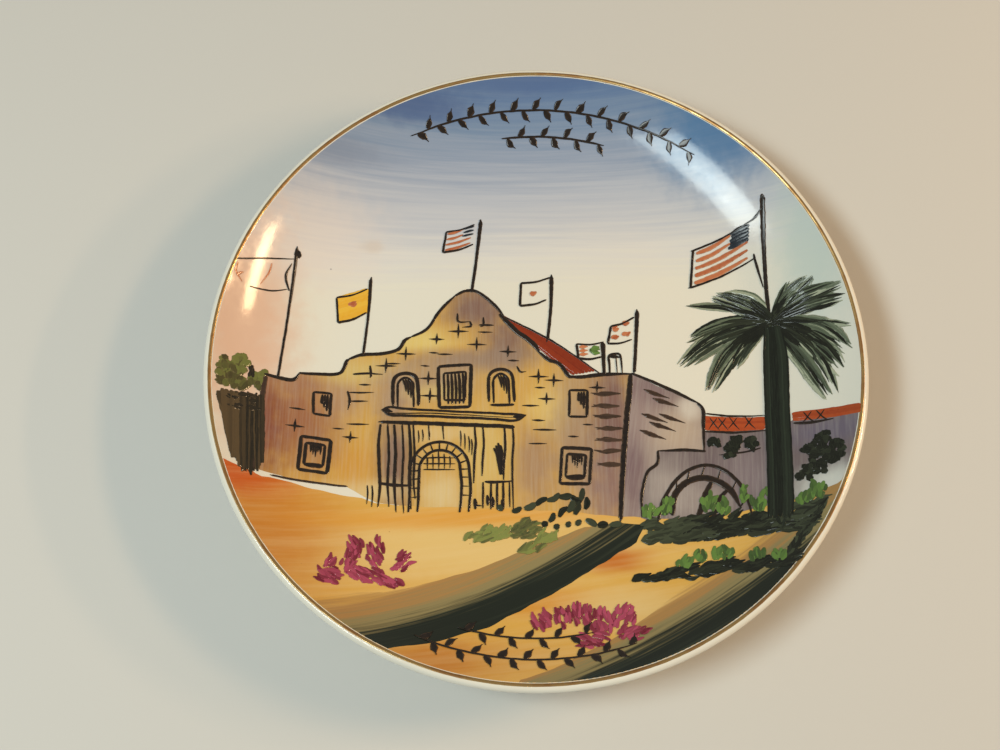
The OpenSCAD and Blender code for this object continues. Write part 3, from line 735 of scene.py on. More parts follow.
# %% The tree that turns a profile
turning, given, made = new_group("turn_profile", "GeometryNodeTree", [
    ("Geometry", "Geometry", None), ("Segments", "Int", 360), ("Material", "Material", None)],
    [("Geometry", "Geometry")])
turning.is_modifier = True
rows = put(turning, "GeometryNodeAttributeDomainSize", {0: given["Geometry"]}).outputs["Point Count"]
columns = calc(turning, "ADD", given["Segments"], 1)
sheet = put(turning, "GeometryNodeMeshGrid", {"Vertices X": columns, "Vertices Y": rows}).outputs[0]
index = put(turning, "GeometryNodeInputIndex").outputs[0]
column = calc(turning, "FLOOR", calc(turning, "DIVIDE", calc(turning, "ADD", index, 0.5), rows))
row = calc(turning, "SUBTRACT", index, times(turning, column, rows))
section = put(turning, "GeometryNodeSampleIndex", {
    0: given["Geometry"], 1: put(turning, "GeometryNodeInputPosition").outputs[0], 2: row},
    data_type="FLOAT_VECTOR").outputs[0]
swing = calc(turning, "DIVIDE", times(turning, column, 2 * math.pi), given["Segments"])
swung = put(turning, "ShaderNodeVectorRotate", {"Vector": section, "Angle": swing},
            rotation_type="Z_AXIS").outputs[0]
moved = put(turning, "GeometryNodeSetPosition", {0: sheet, 2: swung}).outputs[0]
closed = put(turning, "GeometryNodeMergeByDistance", {0: moved, "Distance": 1e-6}).outputs[0]
smooth = put(turning, "GeometryNodeSetShadeSmooth", {0: closed}).outputs[0]
hand_over(turning, smooth, given["Material"], made["Geometry"])
print("turning tree nodes:", len(turning.nodes))


# %% [markdown]
# Every piece of the plate is grown in the same way: a small drawing goes in, a tree runs on it
# once, and only the plain mesh that comes out is kept. The glaze and the strokes are then
# cleaned and turned to face outwards, and every piece is set on the plate's one body in place of
# the CAD node it stands for.

# %% Run a tree on a drawn mesh, and keep the result as a plain mesh
def grown(name, drawing, tree, **values):
    """Grow a piece from a drawing: run the tree once and keep only its mesh."""
    holder = added("drawing", drawing)
    modifier = holder.modifiers.new("grow", "NODES")
    modifier.node_group = tree
    sockets = {item.name: item.identifier for item in tree.interface.items_tree
               if item.item_type == "SOCKET" and item.in_out == "INPUT"}
    for label, value in values.items():
        modifier[sockets[label.replace("_", " ")]] = value
    evaluated = holder.evaluated_get(bpy.context.evaluated_depsgraph_get())
    mesh = bpy.data.meshes.new_from_object(evaluated)
    bpy.data.objects.remove(holder)
    mesh.name = name
    return mesh


def outward(mesh):
    """Merge doubles and turn every closed shell's faces outwards."""
    work = bmesh.new()
    work.from_mesh(mesh)
    bmesh.ops.remove_doubles(work, verts=work.verts, dist=2e-7)
    bmesh.ops.dissolve_degenerate(work, edges=work.edges, dist=1e-7)
    bmesh.ops.recalc_face_normals(work, faces=work.faces)
    work.to_mesh(mesh)
    work.free()


def piece(name, mesh, slot, *nodes):
    """Show a mesh as a piece of the plate, in place of the CAD nodes it stands for."""
    shown = added(name, mesh)
    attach(shown, "root")
    if nodes:
        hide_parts(*nodes)
    print(f"{name}: {len(mesh.polygons)} faces")
    return shown


def section_drawing(points):
    drawing = bpy.data.meshes.new("section")
    drawing.from_pydata([(r, 0, z) for r, z in points],
                        [(i, i + 1) for i in range(len(points) - 1)], [])
    return drawing


# %% [markdown]
# A glazed plate has glaze inside and outside its foot, but not on the edge that it stands on in
# the kiln. So there are two coats, and the foot's bare edge shows between them. The two holes for
# a hanging wire go through the foot and through both coats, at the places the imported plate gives.

# %% Turn the two coats of glaze and bore the hanging holes through them
coat = grown("glaze", section_drawing(outer_coat), turning, Segments=360, Material=ivory_glaze)
inner = grown("inner_glaze", section_drawing(inner_coat), turning, Segments=240, Material=ivory_glaze)
for shell in (coat, inner):
    outward(shell)
both = bmesh.new()
both.from_mesh(coat)
both.from_mesh(inner)
both.to_mesh(coat)
both.free()
HOLE_R = frame["record"]["mounts"][1]["dims"]["r_mm"] * MM
drill = bmesh.new()
for mount in frame["record"]["mounts"][1:]:
    aim = Vector(mount["axis"]).to_track_quat("Z", "X").to_matrix().to_4x4()
    bmesh.ops.create_cone(drill, cap_ends=True, segments=32, radius1=HOLE_R, radius2=HOLE_R,
                          depth=8 * MM, matrix=Matrix.Translation(mount["pos_m"]) @ aim)
drill_mesh = bpy.data.meshes.new("drill")
drill.to_mesh(drill_mesh)
drill.free()
drill_object = added("drill", drill_mesh)
blank = added("blank", coat)
bore = blank.modifiers.new("bore", "BOOLEAN")
bore.operation = "DIFFERENCE"
bore.solver = "EXACT"
bore.object = drill_object
bored = bpy.data.meshes.new_from_object(blank.evaluated_get(bpy.context.evaluated_depsgraph_get()))
bored.name = "glazed_surface"
for spare in (blank, drill_object):
    bpy.data.objects.remove(spare)
piece("glazed_surface", bored, "ivory_glaze", "glaze_coat")
for node, finish in (("porcelain_body", ivory_glaze), ("foot_ring", biscuit)):
    frame["nodes"][node].data.materials.clear()
    frame["nodes"][node].data.materials.append(finish)

# %% [markdown]
# ## Laying paint on a curved face
# Every wash and stroke has to lie on the dished face. The face is a flat floor that turns into
# the wall's arc and then rolls over the round lip, so its height depends only on the distance
# from the middle. That rule is one small group, and both paint trees ask it for the height.

# %% The height of the face at any place
face_height, given, made = new_group("face_height", "GeometryNodeTree", [
    ("Place", "Vector", None)], [("Height", "Float")])
flat = vector(face_height, "MULTIPLY", given["Place"], (1, 1, 0))
reach = vector(face_height, "LENGTH", flat)
run = calc(face_height, "MAXIMUM", calc(face_height, "SUBTRACT", reach, FLOOR_R), 0.0)
under = calc(face_height, "SUBTRACT", WALL_ARC_R ** 2, times(face_height, run, run))
drop = calc(face_height, "SQRT", calc(face_height, "MAXIMUM", under, 0.0))
wall = calc(face_height, "SUBTRACT", FACE_ARC_Z, drop)
past = calc(face_height, "SUBTRACT", reach, PLATE_R - LIP_R)
round_off = calc(face_height, "SUBTRACT", LIP_R ** 2, times(face_height, past, past))
lip = calc(face_height, "ADD", LIP_Z, calc(face_height, "SQRT", calc(
    face_height, "MAXIMUM", round_off, 0.0)))
on_lip = calc(face_height, "GREATER_THAN", reach, FACE_END_R)
height = calc(face_height, "MULTIPLY_ADD", on_lip, calc(face_height, "SUBTRACT", lip, wall), wall)
face_height.links.new(height, made["Height"])


def on_face(tree, geometry, rise):
    """Set each point of a geometry on the face, then raise it."""
    here = put(tree, "GeometryNodeInputPosition").outputs[0]
    ask = tree.nodes.new("GeometryNodeGroup")
    ask.node_tree = face_height
    tree.links.new(here, ask.inputs["Place"])
    x, y, _ = put(tree, "ShaderNodeSeparateXYZ", {0: here}).outputs
    lifted = put(tree, "ShaderNodeCombineXYZ", {
        0: x, 1: y, 2: calc(tree, "ADD", ask.outputs["Height"], rise)}).outputs[0]
    return put(tree, "GeometryNodeSetPosition", {0: geometry, 2: lifted}).outputs[0]


# %% [markdown]
# A wash is a thin film with a drawn outline. The tree takes a flat sheet, rests it on the face,
# and gives it a top, a bottom and an edge, so the film is a closed skin.

# %% The tree that rests a wash on the face
wash_tree, given, made = new_group("rest_wash_on_face", "GeometryNodeTree", [
    ("Geometry", "Geometry", None), ("Lift", "Float", 0.0), ("Sink", "Float", 0.0),
    ("Material", "Material", None)], [("Geometry", "Geometry")])
wash_tree.is_modifier = True
bottom = on_face(wash_tree, given["Geometry"], times(wash_tree, given["Sink"], -1.0))
depth = calc(wash_tree, "ADD", given["Lift"], given["Sink"])
raised = put(wash_tree, "GeometryNodeExtrudeMesh", {
    0: bottom, "Offset": (0, 0, 1), "Offset Scale": depth, "Individual": False}).outputs[0]
turned = put(wash_tree, "GeometryNodeFlipFaces", {0: bottom}).outputs[0]
both = put(wash_tree, "GeometryNodeJoinGeometry")
wash_tree.links.new(raised, both.inputs[0])
wash_tree.links.new(turned, both.inputs[0])
joined = put(wash_tree, "GeometryNodeMergeByDistance", {0: both.outputs[0], "Distance": 1e-6}).outputs[0]
smooth = put(wash_tree, "GeometryNodeSetShadeSmooth", {0: joined}).outputs[0]
fold = put(wash_tree, "GeometryNodeInputMeshEdgeAngle").outputs["Unsigned Angle"]
smooth = put(wash_tree, "GeometryNodeSetShadeSmooth", {
    0: smooth, 1: calc(wash_tree, "GREATER_THAN", fold, 0.7), 2: False}, domain="EDGE").outputs[0]
hand_over(wash_tree, smooth, given["Material"], made["Geometry"])

# %% [markdown]
# A stroke is a round brush dragged along a line. The paint stands proud in the middle and thins
# at both sides, and the width changes as the hand presses. The tree smooths each drawn line,
# lets it wander as a hand does, and drags a half-round section along it on the face.

# %% The tree that lays brush strokes
stroke_tree, given, made = new_group("lay_brush_strokes", "GeometryNodeTree", [
    ("Geometry", "Geometry", None), ("Step", "Float", 0.0005), ("Thickness", "Float", 0.0001),
    ("Lift", "Float", 0.0), ("Wander", "Float", 0.0), ("Wander Size", "Float", 0.003),
    ("Ragged", "Float", 0.15), ("Seed", "Int", 1), ("Sides", "Int", 7),
    ("Material", "Material", None)], [("Geometry", "Geometry")])
stroke_tree.is_modifier = True
lines = put(stroke_tree, "GeometryNodeMeshToCurve", {0: given["Geometry"]}).outputs[0]
smooth = put(stroke_tree, "GeometryNodeCurveSplineType", {0: lines},
             spline_type="CATMULL_ROM").outputs[0]
even = put(stroke_tree, "GeometryNodeResampleCurve", {0: smooth, "Length": given["Step"]},
           mode="LENGTH").outputs[0]
travel = put(stroke_tree, "GeometryNodeSplineParameter").outputs["Length"]
marked = store(stroke_tree, even, "along", times(stroke_tree, travel, 1000.0))
here = put(stroke_tree, "GeometryNodeInputPosition").outputs[0]
wide = vector(stroke_tree, "SCALE", here, calc(stroke_tree, "DIVIDE", 1.0, given["Wander Size"]))
hand = put(stroke_tree, "ShaderNodeTexNoise", {"Vector": wide, "W": times(stroke_tree,
        given["Seed"], 7.3), "Scale": 1.0, "Detail": 1.0}, noise_dimensions="4D")
centred = vector(stroke_tree, "SUBTRACT", hand.outputs[1], (0.5, 0.5, 0.5))
sway = vector(stroke_tree, "SCALE", centred, times(stroke_tree, given["Wander"], 2.0))
wandered = put(stroke_tree, "GeometryNodeSetPosition", {0: marked, "Offset": sway}).outputs[0]
tight = vector(stroke_tree, "SCALE", here, 1400.0)
flutter = cloud(stroke_tree, tight, 1.0)
uneven = calc(stroke_tree, "MULTIPLY_ADD", calc(stroke_tree, "SUBTRACT", flutter, 0.5),
              times(stroke_tree, given["Ragged"], 4.0), 1.0)
half = carried(stroke_tree, "half_width")
brush_r = times(stroke_tree, half, calc(stroke_tree, "MAXIMUM", uneven, 0.4))
upright = put(stroke_tree, "GeometryNodeSetCurveNormal", {0: wandered}, mode="Z_UP").outputs[0]
pressed = put(stroke_tree, "GeometryNodeSetCurveRadius", {0: upright, "Radius": brush_r}).outputs[0]
section = put(stroke_tree, "GeometryNodeCurveArc", {
    "Resolution": given["Sides"], "Radius": 1.0, "Start Angle": 0.0, "Sweep Angle": math.pi,
    "Connect Center": True}, mode="RADIUS").outputs[0]
x, y, _ = put(stroke_tree, "ShaderNodeSeparateXYZ", {
    0: put(stroke_tree, "GeometryNodeInputPosition").outputs[0]}).outputs
section = store(stroke_tree, section, "across", x)
section = store(stroke_tree, section, "proud", y)
ribbon = put(stroke_tree, "GeometryNodeCurveToMesh", {
    0: pressed, 1: section, "Scale": brush_r, "Fill Caps": True}).outputs[0]
proud = carried(stroke_tree, "proud")
order = carried(stroke_tree, "order")
bulge = times(stroke_tree, calc(stroke_tree, "POWER", calc(stroke_tree, "MAXIMUM", proud, 0.0),
                                0.6), given["Thickness"])
layer = calc(stroke_tree, "MULTIPLY_ADD", order, LAYER_STEP, given["Lift"])
edge = calc(stroke_tree, "MULTIPLY_ADD", calc(stroke_tree, "LESS_THAN", proud, 0.01), -ENAMEL_SINK,
            layer)
rested = on_face(stroke_tree, ribbon, calc(stroke_tree, "ADD", edge, bulge))
shaded = put(stroke_tree, "GeometryNodeSetShadeSmooth", {0: rested}).outputs[0]
hand_over(stroke_tree, shaded, given["Material"], made["Geometry"])
print("stroke tree nodes:", len(stroke_tree.nodes))

# %% [markdown]
# Two things are left before painting starts. One turns a drawn outline into a flat sheet that is
# cut into small faces, so it can bend. The other collects strokes: for each line it keeps the
# brush's half width and the paint's tone, with thinner ends where the brush lands and lifts.

# %% Draw an outline as a sheet, and lay it
OUTLINE_STEP = 1.2
NEAR_RIM = 0.3


def wobbly(outline, amount, seed):
    """Add points between the drawn ones and let the line wander, but hold it at the rim."""
    line = []
    for start, end in zip(outline, outline[1:] + outline[:1]):
        steps = max(1, round(math.dist(start, end) / OUTLINE_STEP))
        line += spaced_line(start, end, steps)
    moved = []
    for x, y in line:
        sway = noise.noise_vector(Vector((x * 0.35, y * 0.35, seed)))
        at_rim = math.hypot(x, y) > PICTURE_MM - NEAR_RIM
        x, y = x + sway.x * amount, y + sway.y * amount
        shrink = PICTURE_MM / max(math.hypot(x, y), 1e-6)
        shrink = shrink if at_rim else min(1.0, shrink)
        moved.append((x * shrink, y * shrink))
    return moved


def wash(name, outline, paint, node, lift, wander=0.35, cell=1.5):
    """Lay a wash inside an outline drawn in millimetres."""
    line = wobbly(outline, wander, len(outline))
    cut = bmesh.new()
    cut.faces.new([cut.verts.new((x * MM, y * MM, 0)) for x, y in line])
    for axis in (0, 1):
        low, high = min(p[axis] for p in line), max(p[axis] for p in line)
        for i in range(int((high - low) / cell)):
            spot, normal = Vector((0, 0, 0)), Vector((0, 0, 0))
            spot[axis], normal[axis] = (low + (i + 0.57) * cell) * MM, 1
            bmesh.ops.bisect_plane(cut, geom=cut.verts[:] + cut.edges[:] + cut.faces[:],
                                   plane_co=spot, plane_no=normal, dist=1e-7)
    bmesh.ops.triangulate(cut, faces=[f for f in cut.faces if len(f.verts) > 4])
    for face in cut.faces:
        if face.normal.z < 0:
            face.normal_flip()
    drawing = bpy.data.meshes.new("outline")
    cut.to_mesh(drawing)
    cut.free()
    film = grown(name, drawing, wash_tree, Lift=lift * MM, Sink=ENAMEL_SINK, Material=paint)
    return piece(name, film, SLOT_OF[paint.name], node)


# %% [markdown]
# A painter thinks in strokes, so the drawing does too. A stroke is a few points, a width and a
# tone, and a seeded draw of luck gives each one its own small error, the same on every run.

# %% Draw strokes, and lay them
class Strokes:
    """Lines drawn in millimetres, with the brush's half width and the tone at each point."""

    def __init__(self, seed):
        self.points, self.edges, self.half, self.tones, self.orders = [], [], [], [], []
        self.luck = random.Random(seed)

    def line(self, points, width=0.5, tone=0.2, land=0.7, leave=0.4, middle=1.0, vary=0.15):
        """One stroke. land and leave are how wide the ends are, against the middle."""
        width *= self.luck.uniform(0.88, 1.12)
        tone = min(1.0, max(0.0, tone + self.luck.uniform(-vary, vary)))
        points = [Vector(p) for p in points]
        first, last = points[1] - points[0], points[-2] - points[-1]
        tip_a = first.normalized() * min(width * 0.45, first.length * 0.4)
        tip_b = last.normalized() * min(width * 0.45, last.length * 0.4)
        spots = [points[0], points[0] + tip_a] + points[1:-1] + [points[-1] + tip_b, points[-1]]
        halves = [land * 0.55, land] + [middle] * (len(points) - 2) + [leave, leave * 0.5]
        base, order = len(self.points), self.luck.random()
        for spot, share in zip(spots, halves):
            self.points.append((spot.x * MM, spot.y * MM, 0))
            self.half.append(width * MM * share / 2)
            self.tones.append(tone)
            self.orders.append(order)
        self.edges += [(base + i, base + i + 1) for i in range(len(spots) - 1)]

    def ring(self, centre, radius, width, tone=0.2, count=160):
        """A stroke that closes on itself."""
        base = len(self.points)
        for i in range(count):
            turn = 2 * math.pi * i / count
            self.points.append(((centre[0] + radius * math.cos(turn)) * MM,
                                (centre[1] + radius * math.sin(turn)) * MM, 0))
            self.half.append(width * MM / 2)
            self.tones.append(tone)
            self.orders.append(0.0)
            self.edges.append((base + i, base + (i + 1) % count))

    def near(self, spot, spread):
        """A place close to a spot."""
        return (spot[0] + self.luck.uniform(-spread, spread), spot[1] + self.luck.uniform(
            -spread, spread))

    def dab(self, spot, angle, length, width, tone=0.3, bend=0.15, tip=0.45, vary=0.35):
        """A short fat stroke from a spot, at an angle in degrees."""
        rad = math.radians(angle)
        ahead, side = Vector((math.cos(rad), math.sin(rad))), Vector((-math.sin(rad), math.cos(rad)))
        spot = Vector(spot)
        swing = side * length * self.luck.uniform(-bend, bend)
        self.line([spot, spot + ahead * length * 0.5 + swing, spot + ahead * length], width, tone,
                  land=0.8, leave=tip, middle=1.0, vary=vary)

    def drawing(self):
        mesh = bpy.data.meshes.new("strokes")
        mesh.from_pydata(self.points, self.edges, [])
        for name, values in (("half_width", self.half), ("tone", self.tones), ("order", self.orders)):
            mesh.attributes.new(name, "FLOAT", "POINT").data.foreach_set("value", values)
        return mesh


def paint_strokes(name, strokes, paint, node=None, lift=0.06, thick=0.06, wander=0.12,
                  wander_size=2.5, ragged=0.15, step=0.4, sides=7):
    """Lay the strokes on the face as one piece, for the CAD node of the same name or another."""
    ribbons = grown(name, strokes.drawing(), stroke_tree, Step=step * MM, Thickness=thick * MM,
                    Lift=lift * MM, Wander=wander * MM, Wander_Size=wander_size * MM,
                    Ragged=ragged, Seed=len(name), Sides=sides, Material=paint)
    outward(ribbons)
    return piece("painted_" + name, ribbons, SLOT_OF[paint.name], node or name)


print("ready to paint inside", round(PICTURE_MM, 2), "mm")

# %% [markdown]
# ## Gilt line
# The bander holds a loaded liner brush still against the spinning plate. The line keeps one
# radius, but it swells and thins as the gold runs out.

# %% Gilt line
band = Strokes(3)
band.ring((0, 0), (GILT_R - GILT_W / 2) / MM, GILT_W / MM * 0.9, 0.3)
paint_strokes("gilt_line", band, gilt, "rim_gilt_line", lift=0.02, thick=0.04, wander=0.06,
              wander_size=9.0, ragged=0.1, step=0.9, sides=9)

# %% [markdown]
# ## Washes
# The sky is flooded first and left to fade towards the ground. The sand follows, then the walls,
# then the two dark paths. Each film lies a hair above the one below, as fired layers do.

# %% Sky and sand
def rim_line(start, end):
    """Points along the picture's rim, three degrees apart."""
    turns = [math.radians(a) for a in range(start, end, 3)]
    return [(PICTURE_MM * math.cos(a), PICTURE_MM * math.sin(a)) for a in turns]


wash("sky", rim_line(-36, 217), sky_paint, "sky_wash", 0.025, wander=0.1, cell=1.3)
sand_top = [(52, -29), (46, -29.6), (38, -30.4), (24, -30.6), (17, -29.6), (9, -28.2), (2, -27.6),
            (-6.7, -26.8), (-18, -26.2), (-29.6, -25.4), (-33, -24.7), (-38, -23.6), (-44.9, -22.2),
            (-52.5, -20.7), (-54.6, -19.8)]
wash("sand", rim_line(197, 330) + sand_top, sand_paint, "ground_wash", 0.045, wander=0.5,
     cell=1.3)

# %% [markdown]
# The walls come next, each as one wash inside its drawn outline. The front is warm, the side and
# the low wing turn away from the light and are cooler, and they meet along the corner.

# %% Church walls and wing
facade = [(-52.6, 0.4), (-47.5, 0), (-46, 1.4), (-38.5, 1.7), (-37, 4.6), (-34, 5.5), (-27, 6.1),
          (-25, 8.5), (-24, 9), (-22, 9.8), (-20.5, 11), (-19, 13.4), (-17, 15.8), (-15, 17.6),
          (-13, 18.4), (-11, 18.2), (-9, 16.7), (-7, 14.6), (-5.5, 12.3), (-4.5, 10.8), (-3, 9.1),
          (-1, 7.4), (0.5, 5.8), (1.5, 4), (3, 2.6), (5, 1.8), (6, 0.3), (6.8, -1), (19.2, -0.9),
          (17.8, -9), (16.3, -20), (15.2, -29.6), (9, -28.8), (-6, -27.2), (-20, -26.4),
          (-31.5, -25.2), (-37.5, -21.8), (-46, -21), (-54.2, -19.2), (-53.4, -10)]
wash("church_front", facade, facade_paint, "facade_wash", 0.065, 0.25, 1.4)
side_wall = [(19.2, -0.9), (26, -4.4), (32.2, -7.6), (32.8, -9.5), (32, -17.2), (23.2, -17),
             (23, -19.5), (21, -21), (19.8, -23), (19, -30), (15.2, -29.8), (16.3, -20), (17.8, -9)]
wash("church_side", side_wall, side_wall_paint, "side_wall_wash", 0.07, 0.25, 1.4)
wing = [(32.6, -13.2), (44, -14), (49.4, -13), (60.6, -14), (60, -19.5), (56, -28), (48, -31), (40, -32),
        (22, -31.4), (19, -30), (19.8, -23), (21, -21), (23, -19.5), (23.2, -17), (32, -17.2)]
wash("low_wing", wing, wing_paint, "wing_wash", 0.075, 0.3, 1.3)

# %% [markdown]
# Two dark paths sweep from the door to the lower rim. They lie over the sand and fade into it, so
# each is a wash whose paint runs from sand to nearly black across its width.

# %% Paths
near_path = [(19.6, -31.4), (14, -30.8), (8, -31.6), (0, -34), (-10, -38), (-20, -41), (-30, -43.5),
             (-44, -43.5), (-43.5, -47), (-36.5, -52), (-28.7, -54.4), (-24.4, -54), (-17.5, -52.4),
             (-10.8, -50.4), (-3.9, -46.9), (3.1, -43.4), (10.3, -39.2), (17.6, -35)]
wash("near_path", near_path, near_path_paint, "near_path_stroke", 0.08, 0.3, 1.3)
far_path = [(19, -34.8), (22, -30.6), (38, -30.4), (50, -29), (57, -27), (56, -32), (52, -38), (46, -45),
            (38, -52), (28, -58), (18, -61.5), (6, -63.5), (-6, -63.5), (-5.4, -61.2), (3, -58),
            (11.5, -54), (18.2, -50), (25, -45), (31, -41), (35, -38.4), (27, -37.4), (20.5, -35.9)]
wash("far_path", far_path, far_path_paint, "far_path_stroke", 0.085, 0.3, 1.3)

# %% [markdown]
# ## Roofs
# The roofs are brick red enamel laid with a few long flat strokes, so a roof is darker where two
# strokes overlap and ragged where they end.

# %% Roofs
def hatch(strokes, first, second, count, width, tone=0.2, **ends):
    """Strokes side by side between two drawn lines, which have the same number of points."""
    for i in range(count):
        share = (i + 0.5) / count
        strokes.line([Vector(a).lerp(Vector(b), share) for a, b in zip(first, second)], width,
                     tone, **ends)


gable = Strokes(11)
hatch(gable, [(-6.2, 12.8), (-1, 9.6), (6, 5), (12.2, 0.2)],
      [(-5.4, 11.9), (-0.4, 7.6), (4, 3.0), (7.6, -0.5)], 7, 1.1, 0.35, land=0.8, leave=0.7)
paint_strokes("gable_roof", gable, brick_red, lift=0.10, wander=0.1, step=0.6)
eave = Strokes(12)
EAVES = [([(32.8, -10.2), (38, -11), (44.4, -11.6)], [(32.6, -13), (38, -13.6), (44, -13.9)], 4),
         ([(49.2, -11.4), (54.8, -11.9), (60.7, -12.5)], [(49.2, -13.1), (55, -13.7), (60.4, -14.3)], 3)]
for top, foot, count in EAVES:
    hatch(eave, top, foot, count, 0.95, 0.45, land=0.9, leave=0.95)
paint_strokes("wing_roof", eave, tile_red, lift=0.10, step=0.6)

# %% [markdown]
# ## Black outlines
# A liner brush with black enamel draws the church last, over the dry washes. Lines are thick
# where the brush turns a corner and thin where it lifts.

# %% Church outline
lines = Strokes(21)
OUTLINE = [(0.85, {}, [(-52.8, 0.7), (-50, 0.2), (-47.6, 0), (-46.2, 1.6)]),
           (0.7, {}, [(-46.4, 1.5), (-42, 1.5), (-38.5, 1.8), (-37.2, 4.4), (-36.4, 4.9)]),
           (0.7, {}, [(-36.8, 4.8), (-34, 5.6), (-30, 5.7), (-27, 6.4), (-25.6, 8.3), (-24, 9.2)]),
           (0.65, {}, [(-24.2, 9.1), (-22, 10), (-20.5, 11.2), (-19, 13.6), (-17, 16),
                       (-15, 17.8)]), (0.65, {}, [(-15.3, 17.6), (-13, 18.6), (-11, 18.4),
                                                  (-9, 16.9), (-7, 14.8), (-5.5, 12.6)]),
                                                  (0.5, dict(leave=0.6),
                                                   [(-6.3, 13), (-1, 9.9), (5, 6.1), (12.6, -0.2)]),
                                                   (0.95, {}, [(-6.4, 13.2), (-4.6, 11), (-3, 9.2),
        (-1, 7.6), (0.5, 6), (1.4, 4.2)]), (0.8, {}, [(1.2, 4.6), (3, 2.9), (5, 2), (6, 0.6),
                                                      (6.8, -0.8), (8.2, -1.1)]),
                                                      (0.8, {}, [(6.6, -0.9), (10, -1), (14, -0.7),
        (19.4, -0.8)]), (1.15, dict(land=0.8, leave=0.8), [(19, -0.9), (18.5, -5), (17.8, -9),
                                                           (16.9, -15), (16.2, -20), (15.1, -30)]),
                                                           (0.75, {},
                                                            [(19.2, -0.7), (24, -3), (29, -5.8),
        (32, -7.6)]), (0.75, {}, [(31.7, -7.4), (32.7, -9), (32.5, -12), (32.1, -17.3)]),
        (0.45, {}, [(33, -9.7), (38, -10.6), (44.4, -11.2)]), (0.5, {}, [(32.5, -13.4), (38, -14),
        (44.3, -14.3)]), (0.55, {}, [(49.2, -13.6), (52, -14.1), (56, -14.2)])]
for width, ends, points in OUTLINE:
    lines.line(points, width, **ends)
for x in (33.8, 35.5, 37.6, 40.6, 51.2, 53.4):
    drop = 0.12 * (x - 33)
    lines.line([(x, -10.6 - drop / 2), (x + 0.9, -12.2 - drop / 2), (x + 1.7, -13.4 - drop / 3)], 0.3)
    lines.line([(x + 1.4, -10.8 - drop / 2), (x + 0.4, -12 - drop / 2), (x - 0.4, -13 - drop / 3)], 0.3)
lines.line([(32.4, -17.4), (28, -17), (23.1, -17)], 0.6)
lines.line([(23.2, -17), (22.9, -19.4), (21, -21), (20, -23.4), (19.4, -26), (19.1, -30)], 0.6)
lines.line([(42.8, -17.8), (40, -18.2), (35, -18.4)], 0.35)
paint_strokes("church_outline", lines, liner, lift=0.14)
base = Strokes(22)
base.line([(-51, -20.3), (-46, -20.9), (-37.4, -21.8)], 0.45, leave=0.8)
base.line([(-52.6, 0.2), (-53.2, -6), (-53.6, -12), (-53.9, -19.4)], 0.9, 0.5, land=0.9, leave=0.6)
paint_strokes("wall_foot_lines", base, brown_liner, "stone_marks", lift=0.13)

# %% [markdown]
# Stone joints are hinted with small crosses and dashes that thin at both ends. The corner in
# shade gets heavier ones, half dissolved in the wash.

# %% Stone marks
marks = Strokes(23)
CROSSES = [(-14.8, 9.8), (-19.2, 8.3), (-11.2, 6.8), (-5, 5), (-25.4, 5.4), (-29.4, 3), (-20.8, -3.7),
           (-21, 0), (3.8, -1.5), (12.3, -3.4), (-36.5, -11.7), (-47, -9.6), (2.2, -5.3), (0.8, -0.6)]
for x, y in CROSSES:
    reach = marks.luck.uniform(1.5, 2.1)
    for dx, dy in ((-reach, 0.1), (reach, -0.15), (0.1, reach * 0.8), (-0.1, -reach * 0.72)):
        marks.line([(x - dx * 0.1, y - dy * 0.1), (x + dx * 0.4, y + dy * 0.4), (x + dx, y + dy)],
                   0.55, land=0.9, leave=0.2, middle=0.75)
DASHES = [(-9.4, 9.4, 3), (-17.6, 5, 3), (-19.8, 5.4, 2), (1, -2.9, 2), (0.4, -9.7, 2.6),
          (1.5, -11.7, 4.6), (0, -14.5, 3.6), (7, -13.3, 2), (10, -11, 2), (-35, -9, 4.4),
          (-38.8, -9.9, 2.2), (-34.5, -2.4, 5.4), (-35, -4.2, 4), (-46.6, -6, 3), (-1, -6.6, 3.4),
          (-12, -26.4, 1.5), (-28, 3.4, 3), (-33.6, -0.8, 2.4), (-4, 3, 2.2), (-21.6, 2.7, 1.8)]
for x, y, reach in DASHES:
    marks.line([(x - reach / 2, y + 0.1), (x, y), (x + reach / 2, y - 0.1)], 0.45, land=0.35,
               leave=0.25, middle=0.95)
TICKS = [((-14.9, 13.7), (-14.7, 11.9), (-12.4, 11.8)), ((-12.4, 11.9), (-12.2, 10.8), (-14, 10.6)),
         ((-9.7, 12.6), (-9.7, 10.9), (-10.4, 10.6)), ((-10.6, 11), (-8.6, 10.9), (-7.6, 10.8)),
         ((-32.6, 3.2), (-32.4, 1.2), (-32.6, 0.6)), ((-36, 1.5), (-33.4, 1.6), (-30, 1.2)),
         ((-37, -2), (-36.6, -4), (-37, -6)), ((-3.4, 1.8), (-2.8, 0.6), (-1.6, 0.6))]
for tick in TICKS:
    marks.line(tick, 0.5, land=0.8, leave=0.3)
paint_strokes("stone_marks", marks, liner, lift=0.13, wander=0.1)
shade = Strokes(24)
for i, y in enumerate((-4.8, -7.3, -9.5, -12, -14.3, -16.6, -19.3)):
    for j in range(2):
        x = 11.2 + shade.luck.uniform(-0.5, 0.7)
        shade.line([(x, y + j * 0.4), (x + 2.2, y + 0.2 - j * 0.3), (x + 5.2, y - 0.1)], 0.75, 0.45,
                   land=0.3, leave=0.5)
for x, y in ((21.4, -4.2), (23, -6), (20.6, -9.2), (22, -11), (20, -12.6), (24, -9.4)):
    shade.line([(x, y), (x + 1.8, y - 0.8), (x + 5, y - 2.1)], 0.95, 0.35, land=0.4, leave=0.2)
paint_strokes("corner_shade", shade, brown_liner, "stone_marks", lift=0.115, wander=0.15,
              ragged=0.25)

# %% [markdown]
# ## Windows, cornice and doorway
# Each window is a drawn frame with a second line inside, and a dark block of enamel dragged down
# one side for depth. The frames lean a little because no ruler was used.

